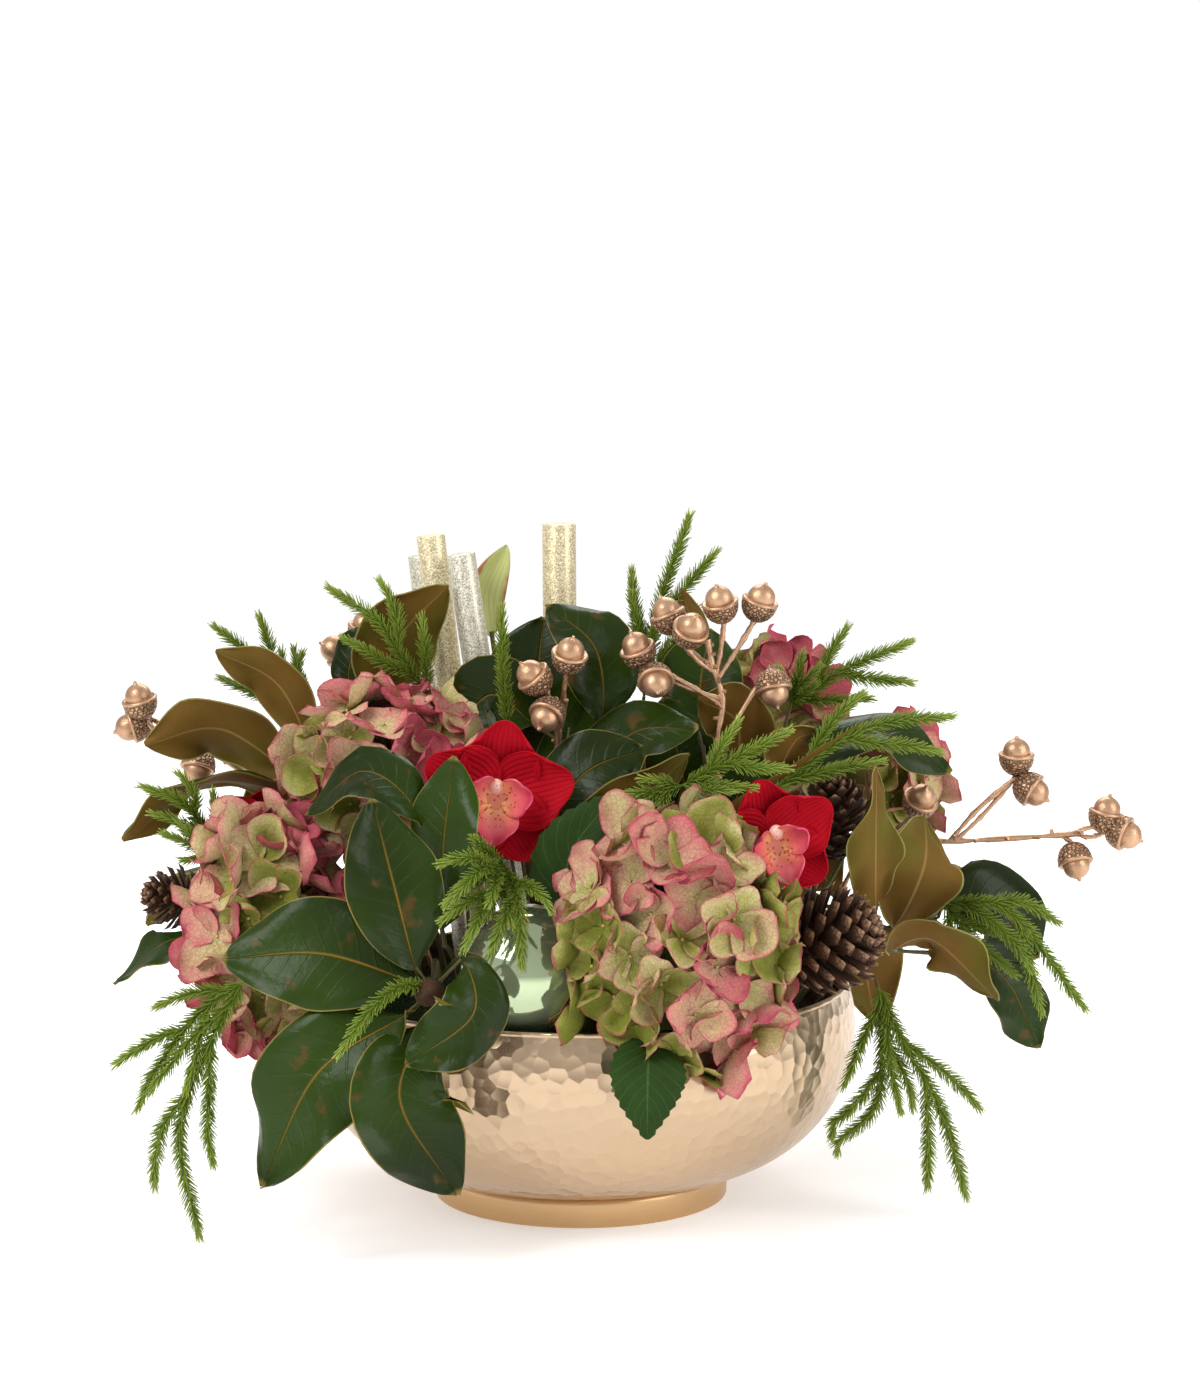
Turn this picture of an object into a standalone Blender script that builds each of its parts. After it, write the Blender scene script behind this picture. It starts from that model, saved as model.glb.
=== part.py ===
"""Flower arrangement in a hammered metal bowl.

Metres, +Z up. The origin is the centre of the foot's flat base, on the table.
The front of the arrangement looks along -Y, and +X is to the viewer's right.
"""
import math
import random

import bmesh
import bpy
from mathutils import Vector
from mathutils.bvhtree import BVHTree

MM = 0.001

# The bowl, its foot and the foam in it
BOWL_FLOOR_HEIGHT = 20 * MM
BOWL_FLOOR_RADIUS = 88 * MM
BOWL_BELLY_RADIUS = 193 * MM
BOWL_BELLY_HEIGHT = 120 * MM
BOWL_RIM_HEIGHT = 153 * MM
BOWL_WALL = 2 * MM
FOOT_RADIUS = 103 * MM
FOOT_WALL = 6 * MM
FOOT_HEIGHT = 20.3 * MM
FIT_GAP = 0.3 * MM
FOAM_RADIUS = 165 * MM
FOAM_TOP = 172 * MM
FOAM_DROP = 52 * MM

# The viewer, who stands in front and looks slightly down
EYE = Vector((13.4, -2600, 700)) * MM
VIEW_DISTANCE = 2600 * MM

# Stems and needles
STEM_RADIUS = 1.7 * MM
STEM_DEPTH = 22 * MM
HOLE_CLEARANCE = 0.32 * MM
HOLE_SIDES = 4
STICK_SIDES = 12
NEEDLE_REACH = 7.6 * MM
NEEDLE_SWEEP = 7 * MM
NEEDLE_CORE = 1.4 * MM
NEEDLE_STEP = 12.5 * MM
NEEDLE_TWIST = math.radians(25)
BLADE_THICKNESS = 0.8 * MM
SPLINTER_ANGLE = math.radians(2.5)
WELD = 0.001 * MM
CLEAR_OF_NEIGHBOUR = 0.5 * MM

BALL_CENTRE = Vector((-35, -137, 186)) * MM
BALL_RADIUS = 45 * MM

for old in list(bpy.data.objects):
    bpy.data.objects.remove(old)

arrangement = bpy.data.collections.new("flower_arrangement_in_bowl")
cutters = bpy.data.collections.new("stem_hole_cutters")
bpy.context.scene.collection.children.link(arrangement)
bpy.context.scene.collection.children.link(cutters)

# Rounded forms that blades and sprigs are bent round: centre and half sizes
bulky = []
crowd_points = []
crowd_faces = []


def finish(name, colour, roughness, metallic=0.0):
    material = bpy.data.materials.new(name)
    material.use_nodes = True
    shader = material.node_tree.nodes["Principled BSDF"]
    shader.inputs["Base Color"].default_value = (*colour, 1)
    shader.inputs["Roughness"].default_value = roughness
    shader.inputs["Metallic"].default_value = metallic
    return material


def sight(across, up, toward):
    """A point, in millimetres, that the viewer sees at (across, up) on the upright plane
    through the bowl's axis, brought nearer to the viewer by toward."""
    on_plane = Vector((across, 0, up)) * MM
    return on_plane + (EYE - on_plane) * (toward * MM / VIEW_DISTANCE)


def foam_height(radius):
    return FOAM_TOP - FOAM_DROP * (radius / FOAM_RADIUS) ** 2


def push_out(point, margin):
    """Moves a point that lies in the bowl or in a bulky form just out of it."""
    point = point.copy()
    for centre, half in bulky:
        grown = Vector(size + margin for size in half)
        offset = point - centre
        share = Vector(offset[axis] / grown[axis] for axis in range(3)).length
        if 0.05 < share < 1:
            point = centre + offset / share
    radius = point.xy.length
    wall = BOWL_BELLY_RADIUS + margin
    top = BOWL_RIM_HEIGHT + 1.5 * MM + margin
    if point.z < top and radius < wall:
        if top - point.z < wall - radius or radius < FOAM_RADIUS:
            point.z = top
        else:
            point.xy = point.xy * (wall / radius)
    point.z = max(point.z, margin)
    return point


def bend(points, share):
    """The point at a share from 0 to 1 of a smooth line through the points."""
    last = len(points) - 1
    place = min(share, 0.999999) * last
    index = int(place)
    step = place - index
    start, end = points[index], points[index + 1]
    before = points[index - 1] if index > 0 else 2 * start - end
    after = points[index + 2] if index + 2 <= last else 2 * end - start
    curve = 2 * start + (end - before) * step
    curve += (2 * before - 5 * start + 4 * end - after) * step ** 2
    curve += (3 * start - before - 3 * end + after) * step ** 3
    return curve / 2


def evenly(points, count):
    """Points at equal distances along the smooth line through the points."""
    fine = [bend(points, index / 160) for index in range(161)]
    walked = [0.0]
    for index in range(160):
        walked.append(walked[-1] + (fine[index + 1] - fine[index]).length)
    result = []
    index = 0
    for stop in range(count + 1):
        target = walked[-1] * stop / count
        while index < 159 and walked[index + 1] < target:
            index += 1
        span = max(walked[index + 1] - walked[index], 1e-9)
        result.append(fine[index].lerp(fine[index + 1], (target - walked[index]) / span))
    return result


def carried_frames(points):
    """The direction, side and up at each point of a line, carried along without a twist."""
    directions = []
    for index in range(len(points)):
        before = points[max(index - 1, 0)]
        after = points[min(index + 1, len(points) - 1)]
        directions.append((after - before).normalized())
    side = directions[0].orthogonal().normalized()
    frames = []
    for direction in directions:
        side = (side - side.project(direction)).normalized()
        frames.append((direction, side, direction.cross(side)))
    return frames


def ring_body(sides, rings, place, spiked=False):
    """A closed body of rings, from a sphere whose points place(ring, side) moves. On a spiked
    body every second point is a spike, and the four-sided faces fold between the spikes."""
    body = bmesh.new()
    bmesh.ops.create_uvsphere(body, u_segments=sides, v_segments=rings, radius=1)
    even = {}
    for vertex in body.verts:
        ring = round(math.acos(max(-1, min(1, -vertex.co.z))) / math.pi * rings)
        side = round(math.atan2(-vertex.co.x, vertex.co.y) / math.tau * sides) % sides
        even[vertex] = (ring + side) % 2 == 0
        vertex.co = place(ring, side)
    if spiked:
        for face in list(body.faces):
            low = [vertex for vertex in face.verts if even[vertex]]
            if len(face.verts) == 4 and len(low) == 2:
                bmesh.utils.face_split(face, low[0], low[1])
    return body


def tube(points, radii, sides=4):
    """A rod with a ring at each point and flat ends."""
    frames = carried_frames(points)
    last = len(points) - 1

    def place(ring, side):
        index = min(max(ring - 1, 0), last)
        if ring in (0, last + 2):
            return points[index].copy()
        turn = math.tau * side / sides
        across = math.cos(turn) * frames[index][1] + math.sin(turn) * frames[index][2]
        return points[index] + across * radii[index]

    return ring_body(sides, last + 2, place)


def turned(start, axis, profile, sides):
    """A body turned round an axis: profile lists (distance along, radius)."""
    axis = axis.normalized()
    points = [start + axis * along for along, radius in profile]
    side = axis.orthogonal().normalized()
    up = axis.cross(side)

    def place(ring, turn_index):
        if ring == 0 or ring == len(profile) + 1:
            return points[0 if ring == 0 else -1].copy()
        turn = math.tau * turn_index / sides
        across = math.cos(turn) * side + math.sin(turn) * up
        return points[ring - 1] + across * profile[ring - 1][1]

    return ring_body(sides, len(profile) + 1, place)


def magnolia_outline(share):
    return 0.06 + 0.94 * max(math.sin(math.pi * min(share, 0.985) ** 0.92), 0) ** 0.72


def petal_outline(share):
    return 0.08 + 0.92 * max(math.sin(math.pi * (0.02 + 0.9 * share)), 0) ** 0.8


def blade(points, width, face, stalk=0.0, fold=0.15, wave=0.0, along=6, across=2,
          outline=magnolia_outline, thickness=BLADE_THICKNESS, bulge=2.5 * MM):
    """A leaf or petal: a sheet bent along a line, folded at its rib, waved at its edges,
    split into triangles and given its thickness. face is where its upper side looks."""
    sheet = bmesh.new()
    bmesh.ops.create_grid(sheet, x_segments=along, y_segments=across, size=0.5)
    face = Vector(face).normalized()
    line = evenly(points, 24)
    frames = carried_frames(line)
    for vertex in sheet.verts:
        row = round((vertex.co.x + 0.5) * along)
        off = vertex.co.y * 2
        if stalk > 0:
            share = 0 if row == 0 else stalk + (1 - stalk) * (row - 1) / (along - 1)
            grown = (share - stalk) / (1 - stalk)
        else:
            share = row / along
            grown = share
        half = width / 2 * outline(max(grown, 0))
        if stalk > 0 and row < 2:
            half = (0.8, 1.7)[row] * MM
        place = share * 24
        index = min(int(place), 23)
        centre = line[index].lerp(line[index + 1], place - index)
        direction = frames[index][0]
        normal = (face - face.project(direction)).normalized()
        side = normal.cross(direction)
        ripple = wave * math.sin(grown * 7.5 + off * 1.7) * off * off
        vertex.co = centre + side * (off * half) + normal * (abs(off) * fold * half + ripple)
        if grown > 0:
            vertex.co = push_out(vertex.co, bulge)
    bmesh.ops.triangulate(sheet, faces=sheet.faces[:])
    bmesh.ops.solidify(sheet, geom=sheet.faces[:], thickness=thickness)
    return sheet


def crowd_tree():
    return BVHTree.FromPolygons(crowd_points, crowd_faces) if crowd_faces else None


def join_crowd(mesh):
    start = len(crowd_points)
    crowd_points.extend(vertex.co.copy() for vertex in mesh.vertices)
    for polygon in mesh.polygons:
        crowd_faces.append([start + index for index in polygon.vertices])


def main_shell(shape):
    """Keeps the largest closed shell of a fused shape: sealed hollows and loose scraps go."""
    seen = set()
    shells = []
    for first in shape.faces:
        if first in seen:
            continue
        seen.add(first)
        shell = [first]
        for face in shell:
            for edge in face.edges:
                for other in edge.link_faces:
                    if other not in seen:
                        seen.add(other)
                        shell.append(other)
        volume = 0.0
        for face in shell:
            a, b, c = (vertex.co for vertex in face.verts[:3])
            volume += a.dot(b.cross(c))
        shells.append((volume, shell))
    shells.sort(key=lambda entry: -entry[0])
    for volume, shell in shells[1:]:
        bmesh.ops.delete(shape, geom=shell, context="FACES")


def as_object(name, shape, material, collection=arrangement):
    """Turns a bmesh into an object with its faces looking out."""
    bmesh.ops.triangulate(shape, faces=[face for face in shape.faces if len(face.verts) > 3])
    if shape.calc_volume(signed=True) < 0:
        bmesh.ops.reverse_faces(shape, faces=shape.faces[:])
    mesh = bpy.data.meshes.new(name)
    shape.to_mesh(mesh)
    shape.free()
    mesh.materials.append(material)
    thing = bpy.data.objects.new(name, mesh)
    collection.objects.link(thing)
    return thing


# The solver and the angle up to which flat splinters merge, in the order that a union tries
UNION_TRIES = (("EXACT", SPLINTER_ANGLE), ("MANIFOLD", SPLINTER_ANGLE), ("EXACT", 0.0), ("MANIFOLD", 0.0))


def united(first, pieces, solver, angle):
    """The union of an object and a collection as one closed shell, its flat splinters merged."""
    union = first.modifiers.new("Fuse", "BOOLEAN")
    union.operation = "UNION"
    union.operand_type = "COLLECTION"
    union.collection = pieces
    union.solver = solver
    bpy.context.view_layer.update()
    seen = first.evaluated_get(bpy.context.evaluated_depsgraph_get())
    joined = bpy.data.meshes.new_from_object(seen)
    first.modifiers.clear()
    shape = bmesh.new()
    shape.from_mesh(joined)
    if angle > 0:
        bmesh.ops.dissolve_limit(shape, angle_limit=angle, use_dissolve_boundaries=False,
                                 verts=shape.verts[:], edges=shape.edges[:])
    bmesh.ops.remove_doubles(shape, verts=shape.verts[:], dist=WELD)
    bmesh.ops.triangulate(shape, faces=shape.faces[:])
    main_shell(shape)
    loose = [vertex for vertex in shape.verts if not vertex.link_faces]
    bmesh.ops.delete(shape, geom=loose, context="VERTS")
    return shape


def fuse(name, shapes, material, smooth=False):
    """Joins overlapping shapes into one closed body with one Boolean union."""
    first = as_object(name, shapes[0], material)
    if len(shapes) > 1:
        pieces = bpy.data.collections.new(name + "_pieces")
        bpy.context.scene.collection.children.link(pieces)
        for shape in shapes[1:]:
            as_object(name + "_piece", shape, material, pieces)
        for solver, angle in UNION_TRIES:
            shape = united(first, pieces, solver, angle)
            if all(edge.is_manifold for edge in shape.edges):
                break
        for piece in list(pieces.objects):
            bpy.data.objects.remove(piece)
        bpy.data.collections.remove(pieces)
        shape.to_mesh(first.data)
        shape.free()
    for polygon in first.data.polygons:
        polygon.use_smooth = smooth
    join_crowd(first.data)
    return first


def turned_object(name, profile, steps, material):
    """A profile of (radius, height) points, screwed round the upright axis."""
    shape = bmesh.new()
    corners = [shape.verts.new((radius, 0, height)) for radius, height in profile]
    for start, end in zip(corners, corners[1:]):
        shape.edges.new((start, end))
    mesh = bpy.data.meshes.new(name)
    shape.to_mesh(mesh)
    shape.free()
    mesh.materials.append(material)
    thing = bpy.data.objects.new(name, mesh)
    arrangement.objects.link(thing)
    spin = thing.modifiers.new("Turn", "SCREW")
    spin.steps = steps
    spin.render_steps = steps
    spin.use_merge_vertices = True
    spin.merge_threshold = 0.0001
    return thing


def stem_hole(x, y, lean=None, radius=STEM_RADIUS, depth=STEM_DEPTH):
    """Cuts a plain hole in the foam at (x, y) millimetres, and returns the buried end of the
    stem in it and a point just above the hole."""
    out = Vector((x * MM, y * MM, 0))
    out.z = foam_height(out.xy.length)
    if lean is None:
        lean = Vector((out.x / FOAM_RADIUS * 0.9, out.y / FOAM_RADIUS * 0.9, 1))
    lean = Vector(lean).normalized()
    sides = STICK_SIDES if radius > 5 * MM else HOLE_SIDES
    wide = radius + HOLE_CLEARANCE / math.cos(math.pi / sides)
    ends = [out - lean * (depth + FIT_GAP), out + lean * 14 * MM]
    cutter = as_object("stem_hole", tube(ends, [wide, wide], sides), foam_finish, cutters)
    cutter.hide_render = True
    cutter.display_type = "WIRE"
    return [out - lean * depth, out + lean * 3 * MM]


def stem(points, radius=STEM_RADIUS, end_radius=None, sides=4):
    last = len(points) - 1
    end_radius = radius if end_radius is None else end_radius
    taper = (end_radius - radius) / (last - 1)
    radii = [radius + taper * max(index - 1, 0) for index in range(last + 1)]
    return tube(points, radii, sides)


bowl_finish = finish("polished_gold", (0.76, 0.52, 0.31), 0.18, 1.0)
foot_finish = finish("satin_gold", (0.64, 0.40, 0.18), 0.35, 1.0)
foam_finish = finish("floral_foam", (0.03, 0.09, 0.03), 0.95)
ball_finish = finish("mirrored_green_glass", (0.42, 0.52, 0.32), 0.08, 1.0)
cap_finish = finish("ornament_cap", (0.6, 0.55, 0.4), 0.3, 1.0)
gold_glitter = finish("gold_glitter", (0.62, 0.45, 0.18), 0.4, 0.8)
silver_glitter = finish("silver_glitter", (0.55, 0.52, 0.42), 0.4, 0.8)
bud_finish = finish("pale_bud_leaf", (0.45, 0.47, 0.15), 0.5)
hydrangea_finish = finish("hydrangea_petals", (0.55, 0.22, 0.20), 0.7)
red_petal = finish("orchid_red_petals", (0.50, 0.01, 0.02), 0.55)
pink_lip = finish("orchid_lip", (0.72, 0.16, 0.17), 0.5)
cone_finish = finish("pine_cone_scales", (0.10, 0.05, 0.03), 0.8)
acorn_finish = finish("rose_gold_acorns", (0.47, 0.25, 0.13), 0.38, 0.85)
magnolia_finish = finish("magnolia_leaves", (0.03, 0.10, 0.02), 0.35)
sprig_finish = finish("conifer_needles", (0.11, 0.26, 0.02), 0.6)


# The bowl: an elliptical wall that turns in a little at its rolled rim
def wall_radius(height, inset):
    share = (height - BOWL_BELLY_HEIGHT) / (BOWL_BELLY_HEIGHT - BOWL_FLOOR_HEIGHT)
    reach = BOWL_BELLY_RADIUS - BOWL_FLOOR_RADIUS
    return BOWL_FLOOR_RADIUS + reach * math.sqrt(max(1 - share ** 2, 0)) - inset


inner_floor = BOWL_FLOOR_HEIGHT + BOWL_WALL
bowl_profile = [(0, inner_floor), (BOWL_FLOOR_RADIUS, inner_floor)]
for height in (38, 70, 115):
    bowl_profile.append((wall_radius(height * MM, BOWL_WALL), height * MM))
rim_radius = wall_radius(BOWL_RIM_HEIGHT, 0)
bowl_profile += [
    (rim_radius - 2.4 * MM, BOWL_RIM_HEIGHT),
    (rim_radius - 0.6 * MM, BOWL_RIM_HEIGHT + 1 * MM),
    (rim_radius + 0.6 * MM, BOWL_RIM_HEIGHT - 1 * MM),
]
for height in (140, 114, 80, 50, 30, 21):
    bowl_profile.append((wall_radius(height * MM, 0), height * MM))
bowl_profile += [(BOWL_FLOOR_RADIUS, BOWL_FLOOR_HEIGHT), (0, BOWL_FLOOR_HEIGHT)]
turned_object("bowl", bowl_profile, 32, bowl_finish)

# The foot: a shallow pan under the bowl, with a rounded shoulder and a flat base
foot_profile = [
    (0, 2 * MM), (FOOT_RADIUS - FOOT_WALL, 2 * MM),
    (FOOT_RADIUS - FOOT_WALL, FOOT_HEIGHT), (FOOT_RADIUS - 4 * MM, FOOT_HEIGHT),
    (FOOT_RADIUS - 1.2 * MM, FOOT_HEIGHT - 1.6 * MM), (FOOT_RADIUS, FOOT_HEIGHT - 5 * MM),
    (FOOT_RADIUS, 1 * MM), (FOOT_RADIUS - 1 * MM, 0), (0, 0),
]
turned_object("foot", foot_profile, 32, foot_finish)

# The foam: a block cut round to sit in the bowl, with a domed top and the stem holes
foam_profile = [(0, FOAM_TOP)]
for radius in (70, 120, 165):
    foam_profile.append((radius * MM, foam_height(radius * MM)))
foam_profile += [(155 * MM, 70 * MM), (80 * MM, inner_floor + FIT_GAP)]
foam_profile += [(0, inner_floor + FIT_GAP)]
foam = turned_object("foam", foam_profile, 16, foam_finish)


def ornament_ball():
    """A mirrored glass ball with a short neck, and the cap and pick that hold it."""
    away = Vector((0.15, 0.82, -0.55)).normalized()
    ball = bmesh.new()
    bmesh.ops.create_uvsphere(ball, u_segments=16, v_segments=12, radius=BALL_RADIUS)
    bmesh.ops.translate(ball, verts=ball.verts[:], vec=BALL_CENTRE)
    neck_start = BALL_CENTRE + away * (BALL_RADIUS - 3 * MM)
    neck = turned(neck_start, away, [(0, 6 * MM), (7 * MM, 6 * MM)], 8)
    fuse("ornament_ball", [ball, neck], ball_finish, smooth=True)
    bulky.append((BALL_CENTRE, Vector((BALL_RADIUS,) * 3)))
    cap_start = neck_start + away * (7 * MM + FIT_GAP)
    cap = turned(cap_start, away, [(0, 8 * MM), (3 * MM, 8 * MM), (4 * MM, 5 * MM)], 8)
    pick = stem(stem_hole(-24, -70, lean=(-0.1, -0.75, 1)) + [cap_start + away * 2 * MM])
    fuse("ornament_cap_and_pick", [cap, pick], cap_finish)


ornament_ball()

# Glitter sticks: top and foot points as the viewer sees them, the radius and the finish
glitter_sticks = {
    "glitter_stick_gold_left": ((-104, 465, -30), (-66, 150, -30), 10, gold_glitter),
    "glitter_stick_silver_back": ((-110, 451, -55), (-77, 150, -60), 10, silver_glitter),
    "glitter_stick_silver_front": ((-83, 452, -8), (-40, 150, -8), 10, silver_glitter),
    "glitter_stick_gold_centre": ((-15, 473, -60), (-13, 150, -60), 12, gold_glitter),
}


def glitter_stick(name, top, low, radius, material):
    top, low = sight(*top), sight(*low)
    axis = (top - low).normalized()
    for turn in range(4):
        gap = foam_height(low.xy.length) - low.z
        low = low + axis * gap
    buried = stem_hole(low.x / MM, low.y / MM, lean=axis, radius=radius * MM)[0]
    length = (top - buried).length
    rounded = [(0, radius * MM), (length - 0.6 * MM, radius * MM), (length, (radius - 0.6) * MM)]
    fuse(name, [turned(buried, axis, rounded, STICK_SIDES)], material, smooth=True)


for stick_name, (stick_top, stick_low, stick_radius, stick_finish) in glitter_sticks.items():
    glitter_stick(stick_name, stick_top, stick_low, stick_radius, stick_finish)

# Pine cones: base and tip as the viewer sees them, the widest radius and the stem's hole
pine_cones = {
    "pine_cone_right_front": ((138, 168, 104), (211, 192, 116), 40, (112, -72)),
    "pine_cone_right_upper": ((177, 236, 52), (176, 298, 60), 30, (128, -34)),
    "pine_cone_left": ((-262, 206, 30), (-308, 214, 44), 24, (-140, -4)),
    "pine_cone_back": ((-30, 208, -100), (-34, 238, -166), 34, (-24, 108)),
}


def pine_cone(name, base, tip, radius, hole):
    """A cone whose scales stand out of its core in staggered rings, with its stem."""
    base, tip = sight(*base), sight(*tip)
    axis = (tip - base).normalized()
    length = (tip - base).length
    side = axis.orthogonal().normalized()
    up = axis.cross(side)
    rings, sides = 10, 12

    def place(ring, turn_index):
        share = ring / rings
        swell = math.sin(math.pi * (0.08 + 0.9 * share) ** 0.8) ** 0.75 if 0 < ring < rings else 0
        turn = math.tau * turn_index / sides
        across = math.cos(turn) * side + math.sin(turn) * up
        spike = (ring + turn_index) % 2 == 1
        reach = radius * MM * swell * (1.0 if spike else 0.66)
        return base + axis * (length * share + (4 * MM if spike else 0)) + across * reach

    shapes = [ring_body(sides, rings, place, spiked=True)]
    points = stem_hole(*hole)
    shapes.append(stem(points + [base + axis * 0.25 * length]))
    fuse(name, shapes, cone_finish)
    bulky.append(((base + tip) / 2, Vector((radius, radius, radius)) * MM))


for cone_name, cone_values in pine_cones.items():
    pine_cone(cone_name, *cone_values)

# Hydrangea heads: centre as the viewer sees it, half sizes, stem's hole and floret count
hydrangea_heads = {
    "hydrangea_left_upper": ((-132, 300, 58), (66, 58, 58), (-108, -42), 14),
    "hydrangea_left_lower": ((-217, 190, 100), (50, 50, 80), (-136, -64), 15),
    "hydrangea_front": ((66, 166, 165), (80, 60, 100), (44, -112), 21),
    "hydrangea_right_back": ((132, 335, -60), (52, 52, 52), (100, 52), 8),
    "hydrangea_right_outer": ((207, 284, -78), (46, 46, 46), (136, 62), 8),
    "hydrangea_back_left": ((-112, 276, -108), (58, 52, 56), (-84, 92), 11),
}
for head_centre, head_half, head_hole, head_count in hydrangea_heads.values():
    bulky.append((sight(*head_centre), Vector(head_half) * MM))

# Orchids: centre as the viewer sees it, where the bloom looks, its size, its stem's hole
orchids = {
    "orchid_left": ((-60, 280, 132), (0.12, -1, 0.1), 53, (-58, -64), 8),
    "orchid_right": ((134, 248, 138), (0.25, -1, 0.05), 46, (84, -86), -16),
    "orchid_far_left": ((-226, 254, 34), (-0.5, -1, 0.3), 34, (-124, 20), 20),
}
PETAL_TURNS = (0, 68, 140, 220, 292)


def orchid(name, centre, face, size, hole, roll):
    """Five broad petals round a boss with its stem, and a cupped lip that stands on the boss."""
    centre = sight(*centre)
    face = Vector(face).normalized()
    side = Vector((0, 0, 1)).cross(face).normalized()
    up = face.cross(side)
    boss_radius = 7 * MM
    boss = turned(centre - face * 8 * MM, face, [(0, boss_radius), (9 * MM, boss_radius)], 6)
    shapes = [boss]
    for index, degrees in enumerate(PETAL_TURNS):
        turn = math.radians(degrees + roll)
        out = math.sin(turn) * side + math.cos(turn) * up
        reach = size * MM * (1.0 if index in (0, 1, 4) else 0.88)
        lift = face * (5 + 3 * (index % 2)) * MM
        layer = face * (-1.5 if index in (1, 4) else -5) * MM
        root = centre + layer
        points = [root + out * 4 * MM, root + out * reach * 0.55, centre + out * reach + lift]
        shapes.append(blade(points, size * 0.88 * MM, face, fold=0.16, along=3, across=2,
                            outline=petal_outline, thickness=1 * MM, bulge=1.5 * MM))
    holes = stem_hole(*hole)
    behind = centre - face * 26 * MM
    shapes.append(stem(holes + [behind, centre - face * 4 * MM]))
    fuse(name + "_petals", shapes, red_petal)
    seat = centre + face * (1 * MM + FIT_GAP)
    lip = turned(seat, face, [(0, 5 * MM), (6 * MM, 7 * MM)], 6)
    shapes = [lip]
    for index, degrees in enumerate((180, 75, 285)):
        turn = math.radians(degrees + roll)
        out = math.sin(turn) * side + math.cos(turn) * up
        reach = size * MM * (0.44, 0.34, 0.34)[index]
        start = seat + face * 5.5 * MM + out * 4 * MM
        points = [start, start + out * reach * 0.7 + face * 3 * MM, start + out * reach + face * 15 * MM]
        shapes.append(blade(points, size * 0.52 * MM, face, fold=0.3, along=2, across=1,
                            outline=petal_outline, thickness=1.2 * MM, bulge=0.5 * MM))
    fuse(name + "_lip", shapes, pink_lip)


for orchid_name, orchid_values in orchids.items():
    orchid(orchid_name, *orchid_values)


def needle_sprig(points, tree):
    """A branch with needles that sweep forward all round it. A needle that would touch a
    neighbour is pressed to the branch."""
    length = sum((end - start).length for start, end in zip(points, points[1:]))
    count = max(round(length / NEEDLE_STEP), 3)
    line = evenly(points, count)
    for index in range(1, count + 1):
        line[index] = push_out(line[index], 4 * MM)
    frames = carried_frames(line)
    sides = 4
    tip = line[-1] + frames[-1][0] * 5 * MM
    pressed = {}

    def place(ring, side):
        if ring == 0:
            return line[0].copy()
        if ring == count + 2:
            return tip.copy()
        centre = line[ring - 1]
        direction, right, up = frames[ring - 1]
        turn = math.tau * side / sides + ring * NEEDLE_TWIST
        across = math.cos(turn) * right + math.sin(turn) * up
        if (ring + side) % 2 == 0:
            return centre + across * NEEDLE_CORE
        taper = 1.0 if ring < count else 0.6
        needle = across * NEEDLE_REACH * taper + direction * NEEDLE_SWEEP * taper
        share = pressed.get((ring, side), 1.0)
        if tree is not None:
            reach = needle.length + 2 * CLEAR_OF_NEIGHBOUR
            hit = tree.ray_cast(centre, needle.normalized(), reach)
            if hit[0] is not None:
                share = min(share, max((hit[3] - 3 * CLEAR_OF_NEIGHBOUR) / needle.length, 0.2))
        return centre + needle * share

    return ring_body(sides, count + 2, place, spiked=True)


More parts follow.
